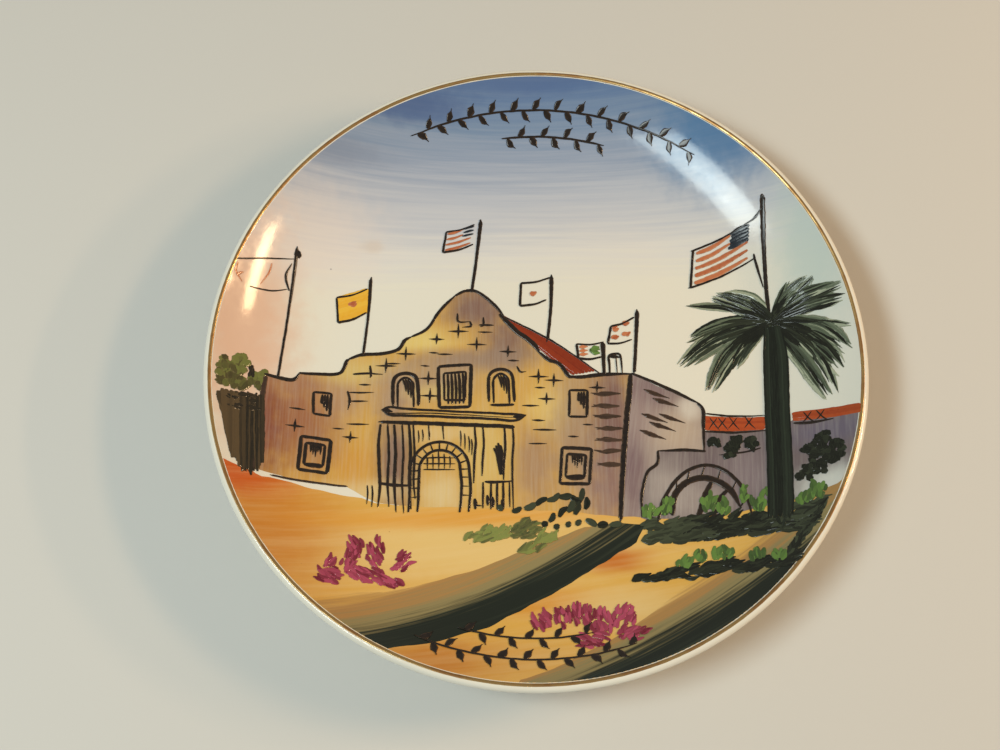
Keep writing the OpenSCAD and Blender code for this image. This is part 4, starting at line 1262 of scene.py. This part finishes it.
# %% Windows
def frame_of(strokes, corners, width):
    """A frame drawn side by side: corners go top left, top right, bottom right, bottom left."""
    for start, end in zip(corners, corners[1:] + corners[:1]):
        middle = (Vector(start) + Vector(end)) / 2
        strokes.line([start, middle, end], width, land=0.9, leave=0.9)


def inset(corners, share):
    middle = sum((Vector(c) for c in corners), Vector((0, 0))) / 4
    return [tuple(Vector(c).lerp(middle, share)) for c in corners]


upper = Strokes(31)
middle_window = [(-19, 2.4), (-12.4, 2.6), (-13, -6.4), (-19, -6.2)]
frame_of(upper, middle_window, 0.75)
frame_of(upper, inset(middle_window, 0.34), 0.5)
for i in range(5):
    x = -17.2 + i * 0.75
    upper.line([(x, 0.9), (x + 0.1, -2), (x, -5.6)], 0.62, 0.1 + 0.2 * (i % 2), leave=0.7)
for x, tilt in ((-25.6, 0.1), (-6.7, -0.1)):
    for reach, width in ((2.5, 0.75), (1.55, 0.5)):
        top = -1.2 + reach
        upper.line([(x - reach, -6.2 + 0.3 * reach), (x - reach, -3), (x - reach * 0.85, top - 1),
                    (x, top), (x + reach * 0.85, top - 1), (x + reach, -3),
                    (x + reach, -6.4 + 0.3 * reach)], width, leave=0.8)
    upper.line([(x - 2.2, -6 + tilt), (x, -6.2), (x + 2.4, -6.3 - tilt)], 0.6, leave=0.8)
    for i in range(4):
        side = x + 0.1 + i * 0.5
        upper.line([(side - 0.6, 0), (side - 0.1, -1.2), (side, -2.6 - i * 0.7)], 0.6, 0.25)
paint_strokes("upper_windows", upper, liner, lift=0.13)

lower = Strokes(32)
for corners in ([(-43.6, -2.3), (-40.2, -2.5), (-40.5, -7.3), (-43.6, -6.8)],
                [(6.8, -3.7), (10.3, -3.9), (9.9, -9.4), (6.4, -9.2)]):
    frame_of(lower, corners, 0.6)
    right = Vector(corners[1])
    for i in range(3):
        x = right.x - 0.7 - i * 0.5
        lower.line([(x, right.y - 0.3), (x - 0.1, right.y - 2.2), (x - 0.2, right.y - 3.8 + i * 0.8)],
                   0.7, 0.15, leave=0.6)
for corners in ([(-45.8, -11.6), (-40.2, -12.3), (-40.8, -19.2), (-46.2, -18.6)],
                [(4.7, -15.5), (10.4, -16), (9.6, -23), (3.9, -22.7)]):
    frame_of(lower, corners, 0.75)
    inner = inset(corners, 0.36)
    frame_of(lower, inner, 0.65)
    top = (Vector(inner[0]) + Vector(inner[1])) / 2
    for i in range(5):
        x = top.x - 0.9 + i * 0.45
        lower.line([(x, top.y + 0.2), (x + 0.1, top.y - 1), (x, top.y - 1.7 - 0.5 * (i % 3))], 0.5,
                   0.1, leave=0.3)
    lower.line([inner[3], tuple((Vector(inner[3]) + Vector(inner[2])) / 2), inner[2]], 1.15,
               leave=0.9)
paint_strokes("lower_windows", lower, liner, lift=0.13)

# %% [markdown]
# A cornice of two long lines crosses the front over the door. Below it stand the door's columns,
# each a few upright strokes of uneven weight, with short marks for the carving between them.

# %% Cornice and doorway
bands = Strokes(33)
bands.line([(-30.4, -6.3), (-28.6, -5.7), (-24, -6.4), (-10, -7.7), (-4, -8.3), (-2, -8.5)], 0.5)
bands.line([(-30, -6.6), (-28.4, -7.4), (-24, -7.7), (-10, -8.9), (-4.4, -9.6), (-2, -8.6)], 0.6)
bands.line([(-30.2, -6.4), (-29, -6.5), (-28.2, -6.7)], 0.9)
bands.line([(-4.6, -8.8), (-3.6, -8.9), (-2.2, -8.6)], 0.8)
bands.line([(-29, -7), (-20, -7.4), (-5, -8.9)], 0.26, leave=0.4)
paint_strokes("cornice", bands, liner, lift=0.13)

door = Strokes(34)
door.line([(-30.8, -8.7), (-24, -9.2), (-14, -10), (-8, -10.5), (-4.4, -10.9)], 0.85, leave=0.9)
door.line([(-30.6, -9.2), (-31, -14), (-30.8, -21.4), (-31.2, -26)], 0.6)
for x, low, width in ((-29.2, -26, 0.5), (-27.9, -27, 0.75), (-26.4, -27.2, 0.5), (-25, -26.6, 0.65),
                      (-24.2, -24.6, 0.5)):
    door.line([(x, -9.4), (x + 0.2, -15), (x - 0.1, -21), (x + 0.1, low)], width, 0.15)
door.line([(-31, -21.2), (-27.6, -21.7), (-24.6, -21.9)], 0.7)
for x, low in ((-12.2, -22), (-10.6, -20.6), (-6.4, -21.6), (-4.8, -27.3)):
    door.line([(x, -10.4), (x + 0.1, -14), (x - 0.3, -18), (x - 0.5, low)], 0.5, leave=0.5)
door.line([(-10.6, -21.7), (-8.4, -21.9), (-5, -21.8)], 0.6)
for x, low, width in ((-10.9, -27, 0.5), (-9.4, -27.3, 0.45), (-8.2, -27.4, 0.55), (-7, -27.4, 0.5),
                      (-5.8, -27, 0.35)):
    door.line([(x, -21.8), (x - 0.1, -24.5), (x - 0.2, low)], width, leave=0.6)
for i in range(4):
    door.line([(-8.6 + i * 0.45, -14 - 0.5 * abs(i - 2)), (-8 + i * 0.3, -16.4),
               (-7.6 + i * 0.15, -20.5)], 0.7, 0.1)
for x, y in ((-10.2, -25.4), (-12.6, -26), (-9.2, -25.8), (-7.4, -26.4)):
    door.line([(x, y + 1), (x + 0.1, y), (x, y - 1.1)], 0.8, 0.1, leave=0.6)
for x, y, step in ((-15, -11.2, 1), (-14.2, -11.8, 1), (-13.4, -12.4, 1), (-12.9, -13, 1),
                   (-23.2, -10.8, -1), (-22.4, -10.6, -1), (-21.2, -10.4, -1)):
    door.line([(x, y), (x + 0.1, y - 1.4), (x, y - 2.9 - 0.4 * step)], 0.32, 0.35)
for x, low in ((-33.2, -25.4), (-32.3, -26)):
    door.line([(x, -21.6), (x + 0.1, -23.6), (x - 0.1, low)], 0.35)
paint_strokes("door_surround", door, liner, lift=0.13)

# %% [markdown]
# Both arches are two curved lines with short rungs between them for the arch stones. The door
# has a lattice under its arch, and the arcade shows two leaning bars inside.

# %% Arches
def on_ring(centre, radius, turn):
    rad = math.radians(turn)
    return (centre[0] + radius * math.cos(rad), centre[1] + radius * math.sin(rad))


arch = Strokes(35)
heart = (-19.2, -19.0)
for reach, width in ((5.7, 0.6), (4.0, 0.55)):
    left, right = heart[0] - reach, heart[0] + reach
    arch.line([(left - 0.5, -27.2), (left - 0.2, -23.5)] + [on_ring(heart, reach,
            a) for a in range(180, -1, -20)] + [(right + 0.1, -23.5), (right - 0.4, -27.6)], width,
            leave=0.7)
for a in range(0, 181, 18):
    arch.line([on_ring(heart, 4.0, a), on_ring(heart, 5.7, a)], 0.5)
for y in (-20.6, -22.4, -24.2):
    for side in (-1, 1):
        arch.line([(heart[0] + side * 3.9, y), (heart[0] + side * 5.6, y - 0.1)], 0.45)
for x in (-21.6, -20.5, -19.4, -18.3, -17.2):
    arch.line([(x, -15.2 - 0.5 * abs(x + 19.4)), (x + 0.05, -17), (x, -18.8)], 0.36)
for y in (-16.4, -17.6, -18.8):
    arch.line([(-22.4, y), (-19.4, y - 0.1), (-16.2, y - 0.3)], 0.34)
for x in (-21.2, -18.4):
    arch.line([(x, -9.9), (x + 0.1, -12.9)], 0.45)
paint_strokes("door_arch", arch, liner, lift=0.13)

arcade = Strokes(36)
outer_arc = [(22.1, -31), (23, -28), (24.2, -25.6), (26.3, -22.9), (29, -21), (32, -20.3), (35, -21.2),
             (37.6, -23.8), (39, -27.4), (39.5, -31.4)]
inner_arc = [(25, -30), (25.2, -27.6), (26.1, -25.4), (28.2, -23.5), (31, -22.8), (34, -23.7),
             (36.4, -26), (37.6, -29.4)]
arcade.line(outer_arc, 0.75)
arcade.line(inner_arc, 1.15)
for share in range(8):
    low = Vector(inner_arc[min(share, 7)])
    high = Vector(outer_arc[min(share + 1, 9)])
    arcade.line([tuple(low), tuple(high)], 0.45)
arcade.line([(33, -23.6), (31.4, -26.6), (29.8, -30.6)], 1.2, leave=0.9)
arcade.line([(36, -25.4), (33.8, -27.6), (32.6, -31)], 0.8, leave=0.9)
paint_strokes("arcade_arch", arcade, liner, lift=0.15)

# %% [markdown]
# ## Flags
# Seven plain flags fly over the church. The poles are single strokes, pressed hard at the top.
# The cloths are outlined with a fine liner, then filled with small strokes of colour.

# %% Poles and cloth outlines
POLES = [((-46.7, 26.6), (-48.6, 13), (-50.3, 0.8), 0.6), ((-32.3, 21.8), (-32.9, 14), (-33.9, 5.8),
                                                           0.65),
                                                           ((-9.5, 34), (-10.6, 26), (-11.8, 18.6),
                                                            0.7),
                                                            ((4.5, 21), (4, 14), (3, 7), 0.75),
                                                            ((14, 6), (13.9, 2), (13.8, -0.7), 0.8),
                                                            ((21.3, 12.6), (20.6, 6), (19.8, -0.7),
        0.9), ((47.5, 32.9), (47.2, 20), (47.1, 8), 0.9)]
CLOTHS = [((-56.2, 24), (-47.2, 24.6), (-48.4, 18.2), (-56.4, 17.6)),
          ((-39.1, 17.8), (-33, 19.8), (-33.2, 14.7), (-38.9, 12.5)),
          ((-16.7, 32), (-10.8, 33.5), (-11.2, 29), (-17.5, 27.4)),
          ((-1.8, 19.8), (4.2, 20.8), (3.2, 15.9), (-2.2, 14.8)),
          ((8.7, 6), (14.2, 6.2), (13.8, 3.1), (8.9, 2.9)),
          ((15.8, 9.5), (20.6, 11.3), (19.8, 6.5), (15, 5.8)),
          ((33.6, 25.1), (45.8, 29.6), (45.3, 21.6), (32.5, 17.2))]
poles = Strokes(41)
for top, middle, foot, width in POLES:
    poles.line([top, middle, foot], width, 0.1, land=1.1, leave=0.8, middle=0.85)
    poles.line([top, tuple(Vector(top).lerp(Vector(middle), 0.3))], width * 1.35, 0.1)
poles.dab((-47.1, 26.2), 0, 1.2, 1.6, 0.1, tip=1.0)
poles.line([(14.9, -0.8), (15, 1.4), (15, 3.2), (16.2, 3.6), (17.3, 3.1), (17.4, -0.8)], 0.5)
poles.line([(15.1, 3), (16.2, 3), (17.3, 2.8)], 0.9)
poles.line([(16.4, 2.6), (16.4, -0.6)], 0.4)
paint_strokes("flagpoles", poles, liner, lift=0.15, wander=0.08)
edges = Strokes(42)
for a, b, c, d in CLOTHS[1:]:
    rise = (Vector(b) - Vector(a)).orthogonal().normalized() * 0.35
    edges.line([a, tuple((Vector(a) + Vector(b)) / 2 - rise), b], 0.42, land=1.1, leave=0.8)
    edges.line([a, tuple((Vector(a) + Vector(d)) / 2), d], 0.5, land=1.0, leave=1.1)
    edges.line([d, tuple((Vector(d) + Vector(c)) / 2 - rise), c], 0.45, land=1.1, leave=0.7)
edges.line([(45.3, 22.6), (45.8, 19.6), (46.6, 15.4)], 0.5)
edges.line([(45.4, 29.3), (46.2, 30), (47.2, 31.2)], 0.5)
edges.line([(-57.6, 22.8), (-52.8, 24.1), (-47.1, 25)], 0.32)
edges.line([(-55.4, 18), (-51.6, 17.9), (-48.6, 18.7)], 0.32)
edges.line([(-48.3, 18.4), (-48.9, 21.4), (-47.7, 24)], 0.5)
paint_strokes("flag_outlines", edges, liner, lift=0.14, wander=0.1)

# %% [markdown]
# The cloths are plain. One is yellow, two have red stripes beside a dark block, and the others
# carry only a few shapeless dabs. The stripes, the dark blocks and the yellow strokes are placed by
# a share across and down their own cloth, so they follow however the cloth is drawn; the dabs and
# the strokes on the first cloth sit at given spots.

# %% Cloth colours
def cloth_point(cloth, across, down):
    a, b, c, d = (Vector(p) for p in cloth)
    return tuple(a.lerp(b, across).lerp(d.lerp(c, across), down))


cantons = Strokes(43)
for cloth, low, high, depth in ((CLOTHS[2], 0.62, 0.98, 0.55), (CLOTHS[6], 0.62, 0.92, 0.42)):
    size = (Vector(cloth[1]) - Vector(cloth[0])).length
    rows = max(3, round(size * 0.42))
    for i in range(rows):
        down = 0.07 + depth * i / rows
        cantons.line([cloth_point(cloth, low + cantons.luck.uniform(-0.03, 0.03), down),
                      cloth_point(cloth, (low + high) / 2, down),
                      cloth_point(cloth, high, down + 0.02)], size * 0.085, 0.1, leave=0.7)
paint_strokes("flag_cantons", cantons, canton_blue, "flag_outlines", lift=0.13, wander=0.15,
              ragged=0.3)
yellow = Strokes(44)
for i in range(6):
    down = 0.08 + 0.165 * i
    yellow.line([cloth_point(CLOTHS[1], 0.0, down), cloth_point(CLOTHS[1], 0.5, down),
                 cloth_point(CLOTHS[1], 1.04, down)], 1.3, 0.4, land=1.0, leave=1.0)
paint_strokes("yellow_cloth", yellow, flag_yellow, "flag_yellow_cloth", lift=0.10, wander=0.05)
reds = Strokes(45)
for cloth, count, width in ((CLOTHS[2], 4, 0.62), (CLOTHS[6], 5, 1.0)):
    for i in range(count):
        down = 0.12 + 0.8 * i / (count - 1)
        stop = 0.62 if down < 0.5 else 0.9
        reds.line([cloth_point(cloth, 0.06, down), cloth_point(cloth, stop / 2, down + 0.03),
                   cloth_point(cloth, stop, down - 0.03)], width, 0.35, land=0.8, leave=0.5)
for centre, spread, count in (((-36, 16.3), 0.35, 4), ((0.7, 17.4), 0.25, 3), ((16.6, 8.9), 0.3, 2),
                              ((19, 9.9), 0.3, 2), ((16.4, 7), 0.3, 2), ((18.8, 7.6), 0.3, 2)):
    for i in range(count):
        spot = reds.near(centre, spread)
        reds.dab((spot[0] - 0.6, spot[1] - 0.1), reds.luck.uniform(5, 40), 1.3, 1.0, 0.25)
reds.line([(-51.4, 23.4), (-52, 21.4), (-53.6, 18.8)], 0.3, 0.4)
reds.line([(-57.4, 22.2), (-57.8, 20.4), (-56.8, 18.6)], 0.35, 0.5)
reds.dab((-57.6, 19.6), 40, 1.4, 0.5, 0.6)
for i in range(3):
    reds.line([(9.2, 5.3 - 0.8 * i), (10, 5.35 - 0.8 * i), (10.9, 5.4 - 0.8 * i)], 0.95, 0.7)
paint_strokes("flag_reds", reds, rust_red, "flag_red_stripes", lift=0.12, thick=0.07, wander=0.08)
patch_green = Strokes(46)
for i in range(4):
    spot = patch_green.near((11.4, 4.6), 0.3)
    patch_green.dab(spot, patch_green.luck.uniform(-20, 20), 1.7, 1.2, 0.6)
paint_strokes("green_patch", patch_green, leaf_green, "flag_green_patch", lift=0.12, thick=0.07)

# %% [markdown]
# ## The palm
# The trunk is a few long strokes of dark green pulled down from the crown. Each frond is a fan:
# a loaded brush is laid at the crown and dragged outwards, and its hairs split into many fine
# tips. So a frond is one loop of thin strokes along a curved rib, pale ones first, dark ones over.

# %% Palm
trunk = Strokes(51)
TRUNK_LINE = [(47.5, 7), (47.4, 0), (46.6, -10), (45.8, -20), (44.9, -28), (44.2, -32.4)]
for offset, width, tone in ((-1.5, 1.2, 0.3), (1.6, 1.3, 0.35), (-0.6, 1.4, 0.15), (0.9, 1.2, 0.3),
                            (0.1, 1.3, 0.0), (-2.0, 0.5, 0.0), (2.2, 0.5, 0.0), (-1.1, 0.5, 0.5),
                            (1.2, 0.5, 0.45)):
    trunk.line([(x + offset * (0.7 if y > 4 else 1), y) for x, y in TRUNK_LINE], width, tone,
               land=0.6, leave=0.6, vary=0.05)
for i in range(7):
    trunk.dab(trunk.near((44.2, -32), 1.4), 250 + 8 * i, 2.0, 0.8, 0.1)
paint_strokes("palm_trunk", trunk, trunk_green, lift=0.17, thick=0.1, wander=0.15, ragged=0.2,
              step=0.6)

CROWN = (47.5, 8.0)
FRONDS = [((31.4, 13.4), 3.0, 0.3), ((37.2, 15.6), 2.8, 1.0), ((29.2, 0.8), 5.0, 0.9),
          ((31.0, 6.0), 4.4, 0.8), ((34.6, -4.6), 4.6, 0.8), ((39.4, -0.6), 2.6, 0.6),
          ((55.2, 15.9), 1.8, 0.7), ((60.2, 12.9), 3.2, 0.8), ((60.4, 10.0), 2.4, 0.6),
          ((60.8, 4.0), 2.0, 0.25), ((60.2, -0.8), 4.6, 1.0), ((58.6, -4.2), 4.0, 0.9),
          ((56.4, -8.6), 3.4, 1.1), ((51.4, 16.0), 0.6, 0.2)]


def frond(strokes, tip, bow, fullness, hairs, width, tone, begins, ends):
    """A fan of hairs from the crown to a tip, bowed upwards like a hanging leaf."""
    root, end = Vector(CROWN), Vector(tip)
    ahead = end - root
    side = Vector((-ahead.y, ahead.x)).normalized()
    if side.y < 0:
        side = -side
    for i in range(hairs):
        share = strokes.luck.uniform(-1, 1) * fullness
        begin = strokes.luck.uniform(*begins)
        reach = max(strokes.luck.uniform(*ends), begin + 0.18)
        points = []
        for t in (begin, begin + (reach - begin) * 0.4, begin + (reach - begin) * 0.75, reach):
            lift = math.sin(math.pi * min(t, 1.0)) * bow * 0.42
            spread = share * 2.1 * math.sin(math.pi * min(0.12 + 0.72 * t, 1.0)) ** 0.8
            spot = root + ahead * t + side * (lift + spread) + Vector((0, -0.8 * t * t * abs(share)))
            points.append(tuple(spot * min(1.0, (PICTURE_MM - 0.3) / spot.length)))
        strokes.line(points, width * strokes.luck.uniform(0.6, 1.4), tone, land=0.7, leave=0.25,
                     vary=0.45)


pale = Strokes(52)
middle = Strokes(53)
dark = Strokes(54)
for tip, bow, full in FRONDS:
    frond(pale, tip, bow, full * 1.15, int(13 * full) + 2, 0.8, 0.35, (0.1, 0.5), (0.8, 1.03))
    frond(middle, tip, bow, full * 0.95, int(15 * full) + 3, 0.6, 0.45, (0.0, 0.3), (0.6, 0.98))
    frond(dark, tip, bow, full * 0.8, int(12 * full) + 4, 0.7, 0.0, (0.0, 0.08), (0.22, 0.6))
    frond(dark, tip, bow, full * 1.0, int(4 * full) + 1, 0.5, 0.0, (0.35, 0.7), (0.8, 1.04))
for name, strokes, paint, lift in (("frond_undercoat", pale, dry_green, 0.13),
                                   ("palm_fronds", middle, palm_green, 0.15),
                                   ("frond_darks", dark, shadow_green, 0.17)):
    paint_strokes(name, strokes, paint, "palm_fronds", lift=lift, thick=0.05, wander=0.14,
                  ragged=0.3, step=0.6, sides=5)

# %% [markdown]
# ## Trees, bushes and flowers
# Foliage is dabbed. The brush is set down, pressed and lifted, which leaves a short fat mark
# with a soft tail. One list says where each clump lies and which way its dabs point.

# %% Foliage
def clump(strokes, centre, reach, count, length, width, angle, spread, tone=0.3, tip=0.45,
          margin=1.6):
    """Dabs scattered over an oval clump, kept a margin away from the rim."""
    for i in range(count):
        turn, share = strokes.luck.uniform(0, 2 * math.pi), math.sqrt(strokes.luck.random())
        spot = (centre[0] + reach[0] * share * math.cos(turn),
                centre[1] + reach[1] * share * math.sin(turn))
        if math.hypot(*spot) < PICTURE_MM - margin:
            strokes.dab(spot, angle + strokes.luck.uniform(-spread, spread),
                        length * strokes.luck.uniform(0.7, 1.3), width, tone, tip=tip)


TREE_CLUMPS = [((-58.8, 0.2), (2.2, 2.6), 34, 0.45), ((-56.8, 1.2), (1.0, 2.0), 16, 0.85),
               ((-53.8, -1.0), (1.1, 1.3), 14, 0.8), ((-57.2, -2.4), (4.0, 1.1), 34, 0.25)]
tree_top = Strokes(61)
for centre, reach, count, tone in TREE_CLUMPS:
    clump(tree_top, centre, reach, count, 1.4, 1.5, 80, 40, tone, 0.9, margin=1.2)
paint_strokes("tree_top", tree_top, olive_green, "left_tree", lift=0.12, thick=0.04)
tree_low = Strokes(62)
for i in range(46):
    x = -60.6 + 7.6 * i / 45
    top = -3.6 - tree_low.luck.uniform(0, 0.8)
    foot = -19.4 + 1.4 * max(-56.4 - x, 0) + 2.2 * max(x + 54, 0) - tree_low.luck.uniform(0, 0.9)
    foot = max(foot, -math.sqrt(max((PICTURE_MM - 0.9) ** 2 - x * x, 0)))
    tree_low.line([(x, top), (x + 0.2, (top + foot) / 2), (x + 0.6, foot)], 0.9,
                  0.75 if x < -56.8 else 0.1, land=0.8, leave=0.4, vary=0.45)
tree_low.line([(-55, -14), (-54.7, -18), (-54.3, -20.8)], 1.2, 0.0)
clump(tree_low, (-57, -5.6), (3.8, 1.4), 36, 2.2, 1.1, 0, 14, 0.1, 0.7, margin=1.2)
clump(tree_low, (-55.2, 0), (0.5, 0.8), 5, 1.1, 0.9, 85, 20, 0.0)
paint_strokes("tree_shadow", tree_low, bark_green, "left_tree", lift=0.14, thick=0.04,
              ragged=0.25, step=0.6)

SHRUB_CLUMPS = [((34.4, -16.3), (1.2, 1.0), 5), ((37.8, -16.6), (1.3, 1.5), 9),
                ((41.2, -16.8), (1.1, 1.3), 8), ((37.2, -18.9), (0.6, 0.5), 2),
                ((53.6, -18.3), (1.3, 1.3), 8), ((56.4, -20.4), (1.3, 1.2), 8),
                ((54.8, -22.7), (1.3, 1.1), 7), ((51, -19.7), (1.2, 1.2), 6),
                ((56.9, -22.3), (1.0, 1.0), 5), ((52.4, -21), (1.6, 1.5), 9),
                ((54.6, -20.6), (1.6, 1.4), 9), ((49.8, -24.4), (1.3, 1.2), 6),
                ((51.4, -24.2), (1.2, 1.0), 5), ((53.3, -23.6), (1.3, 1.0), 6)]
shrubs = Strokes(63)
for centre, reach, count in SHRUB_CLUMPS:
    clump(shrubs, centre, reach, count * 2, 1.0, 1.6, 90, 90, 0.05, 0.95)
LEAVES = [((-5.6, -27.8), 20, 2), ((-3.2, -27.4), 25, 2.4), ((-1, -26.8), 30, 2.6),
          ((1.2, -26), 28, 2.8), ((3.6, -25.4), 5, 2.4), ((5.6, -25.2), -30, 2.6),
          ((7.6, -26.4), 75, 2.6), ((8.4, -28), 80, 2.4), ((5, -28.4), 60, 2.6),
          ((3.4, -29.4), 50, 2.6), ((6.4, -29), 70, 2.8), ((1.4, -30.2), 60, 2.0),
          ((8.4, -30), -35, 2.4), ((2.4, -31.6), 40, 1.2), ((4.8, -31.4), 60, 1.2),
          ((0, -30.8), 30, 1.2), ((6.6, -31.2), 50, 1.4), ((10.6, -31.4), 10, 2.0),
          ((13, -31.3), 5, 2.2), ((-8, -26.4), -60, 1.4)]
for spot, angle, length in LEAVES:
    shrubs.dab(spot, angle, length, 1.3, 0.35, tip=0.8)
paint_strokes("dark_shrubs", shrubs, shadow_green, lift=0.17, thick=0.04)


def held_in(spot, margin=1.9):
    """The same spot, pulled inwards where it would come nearer to the rim than the margin."""
    reach = math.hypot(*spot)
    share = min(1.0, (PICTURE_MM - margin) / reach)
    return spot[0] * share, spot[1] * share


hedge = Strokes(64)
for i in range(300):
    x = hedge.luck.uniform(18.4, 54)
    y = -33.1 + hedge.luck.uniform(-2.4, 1.9) + 0.2 * max(x - 44, 0)
    if math.hypot(x, y) < PICTURE_MM - 3:
        hedge.dab((x, y), hedge.luck.uniform(-15, 35), 3.2, 1.0, 0.1 + 0.035 * abs(x - 36), vary=0.3)
for i in range(90):
    t = i / 89
    drift = hedge.luck.uniform(-1.2, 0.9) * min(1, 4 * t)
    spot = held_in((16.2 + 30 * t, -42.6 + 1.6 * math.sin(3.0 * t) + drift))
    hedge.dab(spot, hedge.luck.uniform(-8, 28), 3.0, 1.1, 0.1, vary=0.3)
for i in range(60):
    t = i / 59
    x = 45.6 + 7 * t + hedge.luck.uniform(-1.4, 0.5)
    spot = held_in((x, -41.4 + 8 * t + hedge.luck.uniform(-0.6, 0.6)))
    hedge.dab(spot, hedge.luck.uniform(35, 70), 2.6, 1.1, 0.3, vary=0.4)
paint_strokes("hedge", hedge, shadow_green, "green_bushes", lift=0.15, ragged=0.3, step=0.6)
BUSH_CLUMPS = [((20.7, -29.9), (1.4, 1.0), 6), ((23.8, -28.9), (1.1, 1.2), 8),
               ((31.9, -28.9), (1.1, 1.6), 9), ((34.5, -29.5), (0.9, 1.3), 6),
               ((38, -27.5), (0.8, 1.3), 6), ((40.9, -29.4), (1.0, 1.7), 8),
               ((43.2, -27.5), (0.5, 1.0), 3), ((45.3, -30.1), (0.9, 1.4), 6),
               ((48.5, -30.1), (1.2, 1.2), 6), ((50.8, -29.2), (1.1, 1.4), 8),
               ((53.1, -29.4), (1.1, 1.1), 6), ((26.2, -40.4), (1.4, 0.6), 5),
               ((29, -39.2), (1.1, 0.8), 5), ((33, -39.2), (1.6, 0.9), 8),
               ((39, -40.3), (1.2, 0.9), 6), ((42.7, -40.8), (0.9, 0.9), 5)]
bushes = Strokes(65)
for centre, reach, count in BUSH_CLUMPS:
    clump(bushes, centre, reach, count * 2, 1.8, 1.0, 78, 25, 0.5, 0.8)
paint_strokes("green_bushes", bushes, leaf_green, lift=0.17)
COURT_CLUMPS = [((-12.6, -33), (2.4, 0.8), 14, 0.6), ((-9.4, -32.6), (2.2, 1.1), 16, 0.85),
                ((-4.3, -31.9), (2.6, 1.4), 24, 0.1), ((0, -34), (1.7, 1.1), 12, 0.8),
                ((-2.8, -35.8), (2.2, 0.5), 9, 0.5)]
court = Strokes(66)
for centre, reach, count, tone in COURT_CLUMPS:
    clump(court, centre, reach, int(count * 1.6), 2.2, 0.9, 30, 26, tone, 0.6)
paint_strokes("court_leaves", court, sage_green, lift=0.14, thick=0.05, ragged=0.25)

# %% [markdown]
# Two beds of magenta flowers lie in the sand. Each is a handful of clumps whose dabs point the
# way the brush was flicked, so the petals seem to grow outwards.

# %% Flowers
LEFT_BED = [((-38.8, -40.6), (2.2, 1.6), 15, 150), ((-36.6, -37.6), (1.8, 2.2), 12, 70),
            ((-34.8, -35), (1.2, 1.8), 9, 115), ((-31.4, -36), (1.4, 2.6), 14, 105),
            ((-32.6, -40.2), (3.2, 1.3), 18, 150), ((-28, -41.6), (2.4, 1.2), 12, 150),
            ((-27.4, -37.6), (1.8, 1.8), 12, 40), ((-40.4, -38), (0.8, 1), 3, 60)]
left = Strokes(67)
for centre, reach, count, angle in LEFT_BED:
    clump(left, centre, reach, int(count * 1.7), 1.9, 0.85, angle, 20, 0.4, 0.6)
paint_strokes("left_flowers", left, magenta, lift=0.14, ragged=0.25)
RIGHT_BED = [((-0.6, -50.2), (2.0, 1.6), 14, 110), ((3, -50), (1.6, 1.8), 12, 100),
             ((6.4, -49.6), (1.8, 2.0), 15, 100), ((10, -51), (2.2, 2.2), 17, 95),
             ((13.6, -50.8), (2.0, 2.2), 15, 60), ((9, -54), (3.4, 1.3), 15, 160),
             ((14.6, -53.2), (2.6, 1.1), 12, 20)]
right_bed = Strokes(68)
for centre, reach, count, angle in RIGHT_BED:
    clump(right_bed, centre, reach, int(count * 1.7), 1.9, 0.85, angle, 20, 0.45, 0.6)
paint_strokes("right_flowers", right_bed, magenta, lift=0.19, ragged=0.25)

# %% [markdown]
# ## Leafy sprigs
# Black sprigs follow the rim at the top and the bottom as a border. Each is a thin stem along an
# arc with leaves on alternate sides.

# %% Sprigs
def sprig(strokes, radius, start, end, leaves):
    """A stem along an arc of the rim, with leaves to either side."""
    stem = [on_ring((0, 0), radius, start + (end - start) * i / 8) for i in range(9)]
    strokes.line(stem, 0.4, 0.1, land=0.5, leave=0.4)
    heading = 90 if end > start else -90
    for i in range(leaves):
        turn = start + (end - start) * (i + 0.5) / leaves
        side = 1 if i % 2 else -1
        spot = on_ring((0, 0), radius + side * 0.15, turn)
        strokes.dab(spot, turn + heading + side * heading / abs(heading) * -52, 2.5, 1.3, 0.05,
                    tip=0.2, vary=0.1)


top_sprigs = Strokes(71)
sprig(top_sprigs, 56.2, 114, 52, 27)
sprig(top_sprigs, 51.4, 95, 71, 9)
paint_strokes("top_ornament", top_sprigs, liner, lift=0.12)
bottom_sprigs = Strokes(72)
sprig(bottom_sprigs, 53, 252, 279, 9)
sprig(bottom_sprigs, 57.2, 245, 286, 17)
paint_strokes("bottom_ornament", bottom_sprigs, liner, lift=0.21)
